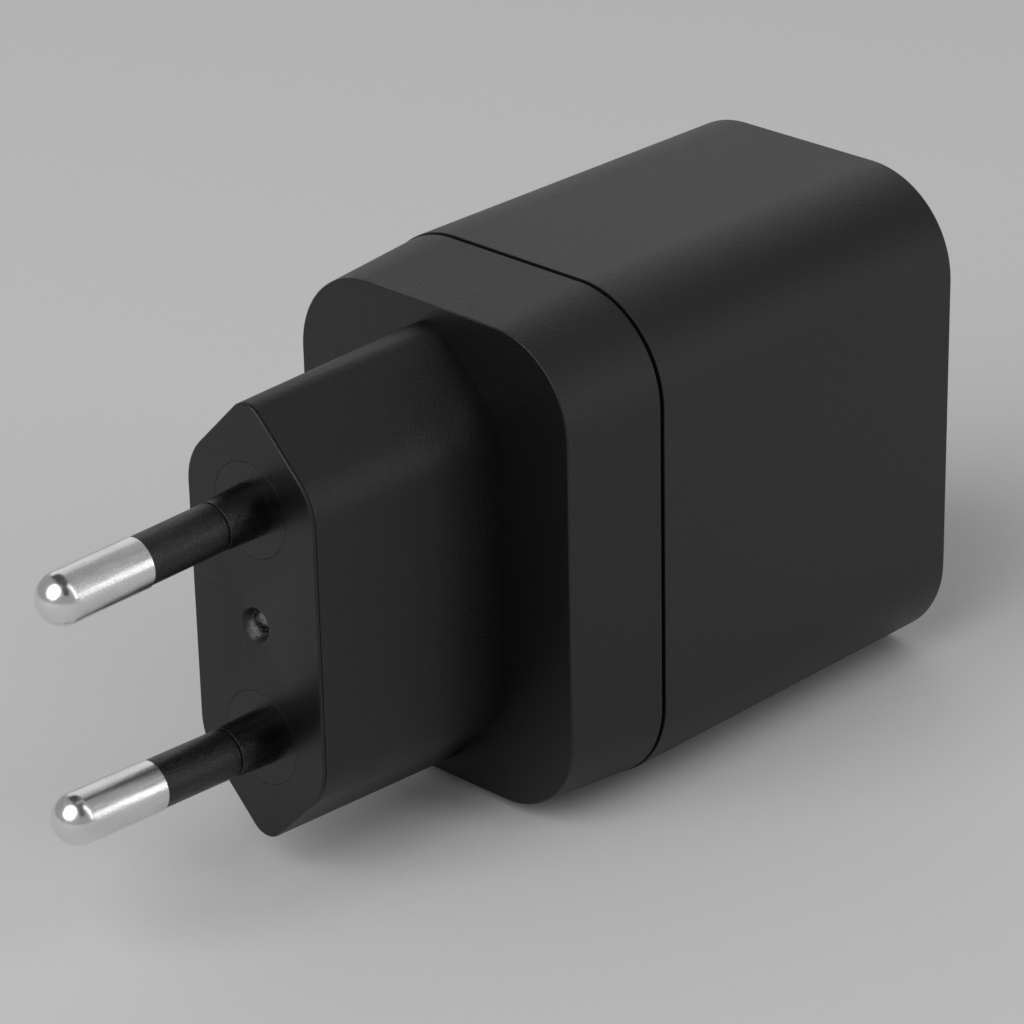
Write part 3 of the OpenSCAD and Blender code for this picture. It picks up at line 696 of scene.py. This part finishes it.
MATERIALS = {
    "shell_plastic": shell_plastic(),
    "sleeve_plastic": sleeve_plastic(),
    "nickel": nickel(),
    "port_steel": port_steel(),
    "port_plastic": port_plastic(),
    "gold": gold(),
    "board": board_material(),
    "wire_red": mottled("wire_red", (0.30, 0.02, 0.015), (0.40, 0.03, 0.02), (0.3, 0.45)),
    "fuse_brown": mottled("fuse_brown", (0.10, 0.03, 0.012), (0.15, 0.05, 0.02), (0.12, 0.22)),
    "disc_blue": mottled("disc_blue", (0.01, 0.06, 0.22), (0.02, 0.09, 0.30), (0.15, 0.3), bump=0.4),
    "film_yellow": mottled("film_yellow", (0.48, 0.30, 0.04), (0.58, 0.38, 0.06), (0.35, 0.5)),
    "ferrite": mottled("ferrite", (0.018, 0.018, 0.02), (0.035, 0.035, 0.037), (0.35, 0.6), 2500.0),
    "core_green": mottled("core_green", (0.015, 0.09, 0.035), (0.03, 0.13, 0.05), (0.2, 0.35)),
    "copper_wire": mottled(
        "copper_wire", (0.50, 0.16, 0.05), (0.68, 0.26, 0.09), (0.18, 0.3), metal=1.0
    ),
    "bobbin": mottled("bobbin", (0.62, 0.58, 0.47), (0.70, 0.66, 0.55), (0.35, 0.5)),
    "tape_yellow": mottled("tape_yellow", (0.70, 0.42, 0.02), (0.78, 0.50, 0.04), (0.15, 0.3)),
    "can_aluminium": mottled(
        "can_aluminium", (0.66, 0.66, 0.67), (0.76, 0.76, 0.77), (0.25, 0.4), 2000.0, (0.1, 1, 1), 1.0
    ),
    "can_sleeve": mottled("can_sleeve", (0.008, 0.012, 0.05), (0.014, 0.02, 0.075), (0.15, 0.3)),
    "seal_rubber": mottled("seal_rubber", (0.012, 0.012, 0.012), (0.022, 0.022, 0.022), (0.6, 0.8)),
    "chip_epoxy": mottled("chip_epoxy", (0.012, 0.012, 0.013), (0.022, 0.022, 0.023), (0.45, 0.65), 3500.0),
    "coupler_white": mottled("coupler_white", (0.60, 0.60, 0.58), (0.70, 0.70, 0.68), (0.4, 0.55), 3000.0),
    "tin": mottled("tin", (0.58, 0.58, 0.58), (0.70, 0.70, 0.70), (0.25, 0.42), metal=1.0),
    "ceramic_tan": mottled("ceramic_tan", (0.26, 0.17, 0.08), (0.34, 0.23, 0.12), (0.3, 0.45), 3500.0),
    "resistor_black": mottled("resistor_black", (0.012, 0.012, 0.014), (0.02, 0.02, 0.023), (0.2, 0.35)),
    "spreader_aluminium": mottled(
        "spreader_aluminium", (0.62, 0.62, 0.63), (0.74, 0.74, 0.75), (0.28, 0.45), 1800.0, (1, 0.08, 1), 1.0
    ),
    "pad_grey": mottled("pad_grey", (0.28, 0.30, 0.33), (0.36, 0.38, 0.41), (0.7, 0.9), bump=0.5),
    "film_black": mottled("film_black", (0.010, 0.010, 0.012), (0.016, 0.016, 0.018), (0.25, 0.4)),
}


# ------------------------------------------------------------------ shells


def gate_depth(x, z):
    """How deep the plug's face is at a point round the mould's gate: a dish with a torn boss in it."""
    wall = min(max((GATE_RIM_R - math.hypot(x, z)) / GATE_WALL_RUN, 0.0), 1.0)
    dish = DIMPLE_DEPTH * wall ** 2 * (3 - 2 * wall)

    # The boss is a mound off the dish's centre, and blends into the dish round its foot.
    boss = BOSS_TOP + BOSS_STEEPNESS * ((x - BOSS_OFFSET) ** 2 + (z - BOSS_OFFSET) ** 2)
    blend = min(max(0.5 + (boss - dish) / (2 * BOSS_BLEND), 0.0), 1.0)
    depth = boss * (1 - blend) + dish * blend - BOSS_BLEND * blend * (1 - blend)

    # A patch torn out of it runs across, sloping down to the right by 17 degrees.
    along = 0.955 * (x - 0.45) - 0.296 * z
    across = 0.296 * (x - 0.45) + 0.955 * z
    torn = max(0.0, 1 - (along / 0.75) ** 2 - (across / 0.30) ** 2)
    crumbs = noise.fractal(Vector((x * 7.5, 0.0, z * 7.5)), 0.6, 2.2, 4)
    depth += min(torn * 1.8, 1.0) * (0.12 + 0.14 * crumbs)

    # The dish's lower left is ridged where the plastic was drawn out.
    smear = max(0.0, 1 - ((x + 0.60) / 0.7) ** 2 - ((z + 0.75) / 0.7) ** 2)
    ridges = noise.fractal(Vector((2.2 * (x + z), 0.0, 9.0 * (x - z))), 0.7, 2.0, 3)
    return max(depth + smear * 0.045 * ridges, 0.0)


def dimple_rings():
    """The surface round the gate, ring by ring from the soft rim inwards."""
    rings = []
    for i in range(DISH_STEPS):
        ring = circle_ring(0, 0, GATE_RIM_R * (1 - i / DISH_STEPS), DISH_SIDES)
        rings.append([Vector((p.x, gate_depth(p.x, p.z), p.z)) for p in ring])
    return rings


def front_cover_piece():
    """The front cover and the plug's nose, one moulding, as a closed shell."""
    bm = bmesh.new()
    rim_y = SEAM_Y - SEAM_GAP / 2
    outside = rounded_path(
        [
            (LIP_END_Y, CAVITY_R),
            (LIP_END_Y, LIP_R),
            (rim_y, LIP_R),
            (rim_y, COVER_R),
            (PLUG_LEN, COVER_R - COVER_DRAFT),
            (PLUG_LEN, COVER_R - COVER_DRAFT - 1.0),
        ],
        {1: 0.2, 3: 0.04, 4: 0.12},
    )
    outer = loft(bm, [body_ring(r, y) for y, r in outside])
    parting_line = [
        (PARTING_END, 0.0), (PARTING_END, PARTING_DEPTH),
        (PARTING_START, PARTING_DEPTH), (PARTING_START, 0.0),
    ]
    nose_path = rounded_path(
        [(PLUG_LEN, 0.0), *parting_line, (0.0, 0.0), (0.0, 0.8)], {5: 0.14}, steps=6, support=0.04
    )
    nose = loft(bm, [nose_ring(y, inset) for y, inset in nose_path])
    fill(bm, [outer[-1], nose[0]])

    dimple = loft(bm, dimple_rings())
    cap(bm, dimple[-1], (0, gate_depth(0, 0), 0))
    holes = []
    for side in (-1, 1):
        z = side * PIN_SPACING / 2
        path = rounded_path([(0.0, 0.4), (0.0, 0.0), (FACE_WALL, 0.0)], {1: 0.03}, steps=3, support=0.03)
        holes.append(loft(bm, [circle_ring(z, y, BUSH_HOLE_R + out) for y, out in path]))
    fill(bm, [nose[-1], dimple[0], holes[0][0], holes[1][0]])

    hollow = loft(bm, [hollow_ring(FACE_WALL), hollow_ring(PLUG_LEN + COVER_WALL)])
    fill(bm, [hollow[0], holes[0][-1], holes[1][-1]])
    inside = [
        (PLUG_LEN + COVER_WALL, COVER_CAVITY_R),
        (rim_y, COVER_CAVITY_R),
        (rim_y, CAVITY_R),
    ]
    inner = loft(bm, [body_ring(r, y) for y, r in inside])
    bridge(bm, inner[-1], outer[0])
    fill(bm, [inner[0], hollow[-1]])
    mesh_object(
        "front_cover_shell", bm, MATERIALS["shell_plastic"], ["front_cover"]
    )


def opening_rings(z, opening):
    """Rings from the USB face, round the opening's edge and through the wall."""
    half_w, half_h, radius = opening
    path = rounded_path([(REAR_Y, 0.7), (REAR_Y, 0.0), (REAR_Y - WALL, 0.0)], {1: 0.22}, steps=5)
    return [slot_ring(y, z, half_w + out, half_h + out, radius + out) for y, out in path]


def board_rails(bm):
    """Ribs on the housing's inside that hold the board's two long edges."""
    board_low, board_high = span("main_board", 0)
    board_half = span("main_board", 2)[1]
    for start in RAIL_STARTS:
        y = SEAM_Y + start
        for x in (board_low - RAIL_T - RAIL_GAP, board_high + RAIL_GAP):
            for side in (-1, 1):
                ends = sorted((side * (board_half - RAIL_OVERLAP), side * (EDGE_Z + CAVITY_R + 0.3)))
                box_bmesh(bm, (x, y, ends[0]), (x + RAIL_T, y + RAIL_LEN, ends[1]), 0.12)


def main_housing_piece():
    """The main housing: a tub whose floor is the USB face."""
    bm = bmesh.new()
    rim_y = SEAM_Y + SEAM_GAP / 2
    rebate_y = SEAM_Y + REBATE_DEPTH
    outside = rounded_path(
        [
            (rebate_y, CAVITY_R),
            (rebate_y, REBATE_R),
            (rim_y, REBATE_R),
            (rim_y, BODY_R),
            (REAR_Y, BODY_R),
            (REAR_Y, BODY_R - 1.2),
        ],
        {3: 0.04, 4: 0.16},
    )
    outer = loft(bm, [body_ring(r, y) for y, r in outside])
    openings = [
        loft(bm, opening_rings(USB_A_Z, USB_A_OPENING)),
        loft(bm, opening_rings(USB_C_Z, USB_C_OPENING)),
    ]
    fill(bm, [outer[-1], openings[0][0], openings[1][0]])
    floor_y = REAR_Y - WALL
    inner = loft(bm, [body_ring(CAVITY_R, floor_y), body_ring(CAVITY_R, rebate_y)])
    bmesh.ops.remove_doubles(bm, verts=inner[-1] + outer[0], dist=1e-5)
    fill(bm, [inner[0], openings[0][-1], openings[1][-1]])
    board_rails(bm)
    mesh_object(
        "main_housing_shell", bm, MATERIALS["shell_plastic"], ["main_housing"]
    )


# ------------------------------------------------------------------ pins


def pin_piece(side, name):
    """A turned pin: domed tip, necked under its sleeve, with a flange and a tail inside."""
    bm = bmesh.new()
    path = rounded_path(
        [
            (PIN_TAIL_END, 0.0), (PIN_TAIL_END, PIN_TAIL_R), (PIN_FLANGE_START, PIN_TAIL_R),
            (PIN_FLANGE_START, PIN_FLANGE_R), (PIN_FLANGE_END, PIN_FLANGE_R),
            (PIN_FLANGE_END, PIN_CORE_R), (SLEEVE_END, PIN_CORE_R), (SLEEVE_END, PIN_R),
            (PIN_LEN - PIN_R, PIN_R),
        ],
        {1: 0.2, 3: 0.15, 4: 0.15, 7: 0.08},
        steps=4,
    )
    dome_steps = 22
    for i in range(1, dome_steps):
        angle = math.pi / 2 * i / dome_steps
        path.append((PIN_LEN - PIN_R + PIN_R * math.sin(angle), PIN_R * math.cos(angle)))
    rings = loft(bm, [pin_ring(side, s, r) for s, r in path if r > 0])
    cap(bm, rings[0], pin_ring(side, path[0][0], 0.0, 1)[0])
    cap(bm, rings[-1], pin_ring(side, PIN_LEN, 0.0, 1)[0])
    mesh_object("plug_" + name, bm, MATERIALS["nickel"], [name])


def sleeve_piece(side, name):
    """The thin insulating tube on a pin, with the fine groove where it meets the collar."""
    bm = bmesh.new()
    groove_end = COLLAR_END + GROOVE_W
    path = rounded_path(
        [
            (COLLAR_END, PIN_CORE_R), (COLLAR_END, GROOVE_R), (groove_end, GROOVE_R),
            (groove_end, SLEEVE_R), (SLEEVE_END, SLEEVE_R), (SLEEVE_END, PIN_CORE_R),
        ],
        {3: 0.04, 4: 0.06},
        steps=4,
        support=0.05,
    )
    closed_loft(bm, [pin_ring(side, s, r) for s, r in path])
    mesh_object("insulating_" + name, bm, MATERIALS["sleeve_plastic"], [name])


def bush_piece(side, name):
    """A disc in the plug's face with a collar round the pin's root, and a flange inside."""
    bm = bmesh.new()
    z = side * PIN_SPACING / 2
    lean = -side * math.tan(PIN_TILT)

    def level_ring(y, radius):
        """A ring level with the plug's face, centred on the leaning pin."""
        return circle_ring(z - lean * y, y, radius)

    disc = rounded_path(
        [
            (BUSH_BACK, BUSH_FLANGE_R), (FACE_WALL, BUSH_FLANGE_R), (FACE_WALL, BUSH_R),
            (0.0, BUSH_R), (0.0, 2.6),
        ],
        {3: 0.02},
        steps=3,
        support=0.03,
    )
    rings = [level_ring(BUSH_BACK, PIN_CORE_R)]
    rings += [circle_ring(z, y, r) for y, r in disc]
    rings.append(level_ring(0.0, COLLAR_ROOT_R))
    collar = rounded_path(
        [(0.12, COLLAR_ROOT_R), (COLLAR_END, COLLAR_TIP_R), (COLLAR_END, PIN_CORE_R)],
        {1: 0.035},
        steps=4,
    )
    rings += [pin_ring(side, s, r) for s, r in collar]
    closed_loft(bm, rings)
    mesh_object("moulded_" + name, bm, MATERIALS["sleeve_plastic"], [name])


# ------------------------------------------------------------------ USB ports


def cut(piece, cutters):
    """Cuts closed boxes out of a piece, and removes the cutters."""
    for cutter in cutters:
        modifier = piece.modifiers.new("cut", "BOOLEAN")
        modifier.operation = "DIFFERENCE"
        modifier.solver = "EXACT"
        modifier.object = cutter
    depsgraph = bpy.context.evaluated_depsgraph_get()
    mesh = bpy.data.meshes.new_from_object(piece.evaluated_get(depsgraph))
    piece.modifiers.clear()
    piece.data = mesh
    for cutter in cutters:
        bpy.data.objects.remove(cutter)


def cutter_box(low, high):
    """A box between two corners, as an object for cut() to use up."""
    bm = bmesh.new()
    box_bmesh(bm, low, high)
    mesh = bpy.data.meshes.new("cutter")
    bm.to_mesh(mesh)
    bm.free()
    mesh.transform(Matrix.Scale(MM, 4))
    cutter = bpy.data.objects.new("cutter", mesh)
    bpy.context.scene.collection.objects.link(cutter)
    return cutter


def shell_bmesh(z, half, radius, back_y):
    """A folded shell: a tube with a wall, open at the USB face and at the back."""
    bm = bmesh.new()
    path = rounded_path(
        [(back_y, 0.0), (PORT_Y, 0.0), (PORT_Y, -SHELL_T), (back_y, -SHELL_T)],
        {1: 0.1, 2: 0.12},
        steps=3,
        support=0.05,
    )
    rings = [
        slot_ring(y, z, half[0] + out, half[1] + out, max(radius + out, 0.05), 8) for y, out in path
    ]
    closed_loft(bm, rings)
    return bm


def shell_feet(bm, mid_z, half_h, starts, length, end_x):
    """Tabs that run from a shell's two flat sides to the board."""
    for start in starts:
        y = PORT_Y - start
        for side in (-1, 1):
            z = mid_z + side * (half_h - SHELL_T / 2)
            box_bmesh(bm, (BOARD_TOP, y, z - SHELL_T / 2), (end_x, y + length, z + SHELL_T / 2), 0.04)


def spring_strip(bm, x, z_wall, inward, root_y, tip_y, half_w):
    """A spring tab cut from a shell's wall: it bows into the opening and turns out at its tip."""
    steps = 14
    rings = []
    for i in range(steps + 1):
        share = i / steps
        y = root_y + (tip_y - root_y) * share
        bow = 0.62 * math.sin(min(share * 1.18, 1.0) * math.pi / 2) ** 1.6
        if share > 0.8:
            bow -= (share - 0.8) * 1.6
        z = z_wall + inward * bow
        rings.append([
            Vector((x - half_w, y, z)), Vector((x + half_w, y, z)),
            Vector((x + half_w, y, z - inward * 0.22)), Vector((x - half_w, y, z - inward * 0.22)),
        ])
    solid_loft(bm, rings)


def usb_a_shell_piece():
    """The USB-A shell with its feet, and four spring tabs in windows cut through its walls."""
    half_w, half_h = USB_A_HALF
    bm = shell_bmesh(USB_A_Z, USB_A_HALF, 0.6, USB_A_BACK_Y)
    shell_feet(bm, USB_A_Z, half_h, (12, 6), 1.6, -half_w - 0.1)
    piece = mesh_object(
        "usb_a_receptacle_shell", bm, MATERIALS["port_steel"], ["usb_a_shell"]
    )
    windows = []
    spots = [(x, side) for x in (-USB_A_SPRING_X, USB_A_SPRING_X) for side in (-1, 1)]
    for x, side in spots:
        z = USB_A_Z + side * half_h
        windows.append(cutter_box((x - 1.35, PORT_Y - 9.0, z - 0.5), (x + 1.35, PORT_Y - 2.0, z + 0.5)))
    cut(piece, windows)
    bm = bmesh.new()
    for x, side in spots:
        wall_z = USB_A_Z + side * (half_h - SHELL_T + 0.05)
        spring_strip(bm, x, wall_z, -side, PORT_Y - 1.9, PORT_Y - 8.4, 1.0)
    mesh_object("usb_a_shell_springs", bm, MATERIALS["port_steel"])


def usb_a_insulator_piece():
    """The block at the back of the receptacle and its tongue, with a lead-in at the tip."""
    bm = bmesh.new()
    block_y = USB_A_BACK_Y + USB_A_BLOCK_LEN
    half_w, half_h = (half - SHELL_T - SHELL_FIT for half in USB_A_HALF)
    block = [(USB_A_BACK_Y, 0.15), (USB_A_BACK_Y + 0.15, 0.0), (block_y - 0.1, 0.0), (block_y, 0.1)]
    solid_loft(bm, [slot_ring(y, USB_A_Z, half_w - inset, half_h - inset, 0.28) for y, inset in block])
    end_y = block_y + USB_A_TONGUE_LEN
    mid_z = USB_A_Z + USB_A_TONGUE_RISE + USB_A_TONGUE_T / 2
    tongue = [(block_y - 0.3, 0.0), (end_y - 0.7, 0.0), (end_y - 0.15, 0.28), (end_y, 0.45)]
    solid_loft(bm, [
        slot_ring(y, mid_z, USB_A_TONGUE_HALF_W - inset, USB_A_TONGUE_T / 2 - inset * 0.9, 0.12, 4)
        for y, inset in tongue
    ])
    mesh_object(
        "usb_a_receptacle_tongue", bm, MATERIALS["port_plastic"], ["usb_a_insulator"]
    )


def strip(bm, x, half_w, thickness, path):
    """A flat contact along a path of (y, z) points, whose z is its lower face."""
    solid_loft(bm, [
        [
            Vector((x - half_w, y, z)), Vector((x + half_w, y, z)),
            Vector((x + half_w, y, z + thickness)), Vector((x - half_w, y, z + thickness)),
        ]
        for y, z in path
    ])


def usb_a_contacts_piece():
    """Four bowed contacts under the tongue, the outer two longer, and their tails to the board."""
    bm = bmesh.new()
    block_y = USB_A_BACK_Y + USB_A_BLOCK_LEN
    tongue_z = USB_A_Z + USB_A_TONGUE_RISE
    steps = 16
    for x in USB_A_CONTACT_XS:
        end_y = block_y + USB_A_TONGUE_LEN - (0.9 if abs(x) > 2 else 1.9)
        path = []
        for i in range(steps + 1):
            share = i / steps
            bump = 0.32 * math.exp(-((share - 0.78) / 0.12) ** 2)
            path.append((block_y + (end_y - block_y) * share, tongue_z - 0.16 - bump))
        strip(bm, x, 0.5, 0.14, path)
    for i in range(4):
        z = USB_A_Z + (i - 1.5) * 1.2
        box_bmesh(bm, (BOARD_TOP, USB_A_BACK_Y - 0.4, z - 0.2), (-2, USB_A_BACK_Y - 0.02, z + 0.2), 0.05)
    mesh_object("usb_a_receptacle_contacts", bm, MATERIALS["gold"], ["usb_a_contacts"])


def usb_c_shell_piece():
    """The USB-C shell with its feet."""
    half_h = USB_C_HALF[1]
    bm = shell_bmesh(USB_C_Z, USB_C_HALF, half_h - 0.01, USB_C_BACK_Y)
    shell_feet(bm, USB_C_Z, half_h, (8, 4), 1.2, -3.2)
    mesh_object("usb_c_receptacle_shell", bm, MATERIALS["port_steel"], ["usb_c_shell"])


def usb_c_insulator_piece():
    """The block at the back of the receptacle and its thin tongue, with a step round its root."""
    bm = bmesh.new()
    half_w, half_h = (half - SHELL_T - SHELL_FIT for half in USB_C_HALF)
    block_y = USB_C_BACK_Y + USB_C_BLOCK_LEN
    solid_loft(bm, [slot_ring(y, USB_C_Z, half_w, half_h, 1.24, 8) for y in (USB_C_BACK_Y, block_y)])
    end_y = block_y + USB_C_TONGUE_LEN
    tongue = [
        (block_y - 0.3, 0.0, 0.0), (block_y + 1.1, 0.0, 0.0), (block_y + 1.11, 0.1, 0.0),
        (end_y - 0.5, 0.1, 0.0), (end_y - 0.2, 0.25, 0.06), (end_y, 0.5, 0.16),
    ]
    solid_loft(bm, [
        slot_ring(y, USB_C_Z, USB_C_TONGUE_HALF_W - inset, USB_C_TONGUE_HALF_T - thin, 0.1, 4)
        for y, inset, thin in tongue
    ])
    mesh_object(
        "usb_c_receptacle_tongue", bm, MATERIALS["port_plastic"], ["usb_c_insulator"]
    )


def usb_c_contacts_piece():
    """Twelve contacts on each side of the tongue, the power ones longer, and five tails."""
    bm = bmesh.new()
    block_y = USB_C_BACK_Y + USB_C_BLOCK_LEN
    half_w, half_t = 0.125, 0.035
    for i in range(USB_C_CONTACTS):
        x = (i - (USB_C_CONTACTS - 1) / 2) * USB_C_PITCH
        end_y = block_y + (3.8 if i in USB_C_POWER_CONTACTS else 3.4)
        for side in (-1, 1):
            z = USB_C_Z + side * (USB_C_TONGUE_HALF_T + 0.02)
            low = (x - half_w, block_y + 0.02, z - half_t)
            box_bmesh(bm, low, (x + half_w, end_y, z + half_t), 0.02)
    for i in range(5):
        z = USB_C_Z + (i - 2) * USB_C_PITCH
        box_bmesh(bm, (BOARD_TOP, USB_C_BACK_Y - 0.3, z - 0.12), (-1, USB_C_BACK_Y - 0.02, z + 0.12), 0.03)
    mesh_object("usb_c_receptacle_contacts", bm, MATERIALS["gold"], ["usb_c_contacts"])


# ------------------------------------------------------------------ camera and studio


def camera():
    """The photograph's viewing angle: from the plug's side, right and above, with a long lens."""
    azimuth, elevation, roll = (math.radians(a) for a in (44.76, 25.11, -1.28))
    back = Vector((
        math.sin(azimuth) * math.cos(elevation),
        -math.cos(azimuth) * math.cos(elevation),
        math.sin(elevation),
    ))
    level_right = (-back).cross(Vector((0, 0, 1))).normalized()
    level_up = level_right.cross(-back)
    right = level_right * math.cos(roll) + level_up * math.sin(roll)
    up = level_up * math.cos(roll) - level_right * math.sin(roll)
    aim = Vector((0, 25.0, 0)) + right * 1.32 + up * 0.36
    distance = 326.35
    data = bpy.data.cameras.new("camera")
    data.sensor_width = 36.0
    data.lens = 149.1
    data.clip_start = 0.01
    data.clip_end = 20.0
    view = bpy.data.objects.new("camera", data)
    turn = Matrix((right, up, back)).transposed().to_4x4()
    view.matrix_world = Matrix.Translation((aim + back * distance) * MM) @ turn
    bpy.context.scene.collection.objects.link(view)
    bpy.context.scene.camera = view


def area_light(name, place, target, size, power, shape="RECTANGLE"):
    """A soft light at place, in metres, turned to face target; power is in watts."""
    data = bpy.data.lights.new(name, "AREA")
    data.shape = shape
    data.size, data.size_y = size
    data.energy = power
    light = bpy.data.objects.new(name, data)
    light.location = place
    light.rotation_euler = (Vector(target) - Vector(place)).to_track_quat("-Z", "Y").to_euler()
    bpy.context.scene.collection.objects.link(light)


def stage_piece(name, bm, material):
    """A part of the studio, from a bmesh in metres."""
    mesh = bpy.data.meshes.new(name)
    bm.to_mesh(mesh)
    bm.free()
    mesh.materials.append(material)
    piece = bpy.data.objects.new(name, mesh)
    bpy.context.scene.collection.objects.link(piece)
    return piece


def studio_floor():
    """A wide pale floor that the charger lies on."""
    bm = bmesh.new()
    bmesh.ops.create_grid(bm, x_segments=8, y_segments=8, size=9.0)
    n = Nodes("studio_floor")
    fibre = n.noise(900.0, detail=3.0)
    colour = n.mix_colour(n.ramp(fibre, 0.3, 0.7), (0.715, 0.715, 0.71), (0.725, 0.725, 0.72))
    material = n.set(Base_Color=colour, Roughness=0.9, Specular_IOR_Level=0.1)
    floor = stage_piece("studio_floor", bm, material)
    floor.location.z = cad_low.z


def studio_ceiling():
    """The studio's dark ceiling, a strip behind the softbox."""
    bm = bmesh.new()
    box_bmesh(bm, (-1.0, -0.21, 0.7), (1.15, 0.21, 0.704), 0.001)
    bm.transform(Matrix.Rotation(math.radians(-20), 4, "Z"))
    n = Nodes("studio_ceiling")
    weave = n.noise(40.0, detail=3.0)
    colour = n.mix_colour(weave, (0.08, 0.08, 0.08), (0.12, 0.12, 0.12))
    stage_piece("studio_ceiling", bm, n.set(Base_Color=colour, Roughness=0.9))


def studio_light():
    """A large softbox in front and above, in a pale room, with panels at the back and side."""
    world = bpy.data.worlds.new("studio")
    bpy.context.scene.world = world
    world.use_nodes = True
    background = world.node_tree.nodes["Background"]
    background.inputs["Color"].default_value = (1.0, 1.0, 1.0, 1.0)
    background.inputs["Strength"].default_value = 0.33
    centre = (0.0, 0.02, 0.0)
    area_light("softbox", (0.0, -0.59, 0.54), centre, (0.84, 0.84), 4.1, "ELLIPSE")
    area_light("rear_left", (-0.55, 0.66, 0.47), centre, (1.1, 0.7), 1.15)
    area_light("rear_right", (0.50, 0.40, 0.03), centre, (0.14, 0.4), 0.34)
    area_light("right", (0.465, 0.167, 0.372), centre, (0.14, 0.7), 0.46)
    bpy.context.scene.view_settings.view_transform = "Standard"


# ------------------------------------------------------------------ inside


def dress_cad_nodes():
    """Gives every CAD node that still shows its material."""
    replaced = {n for o in bpy.data.objects for n in o.get("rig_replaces", [])}
    for entry in frame["record"]["subparts"]:
        name = entry["node"]
        if name in replaced:
            continue
        node = frame["nodes"][name]
        node.data.materials.clear()
        node.data.materials.append(MATERIALS[entry["material_slot"]])


front_cover_piece()
main_housing_piece()
for side, word in ((1, "upper"), (-1, "lower")):
    pin_piece(side, "pin_" + word)
    sleeve_piece(side, "pin_sleeve_" + word)
    bush_piece(side, "pin_bush_" + word)
usb_a_shell_piece()
usb_a_insulator_piece()
usb_a_contacts_piece()
usb_c_shell_piece()
usb_c_insulator_piece()
usb_c_contacts_piece()
dress_cad_nodes()
studio_floor()
studio_ceiling()
studio_light()
camera()
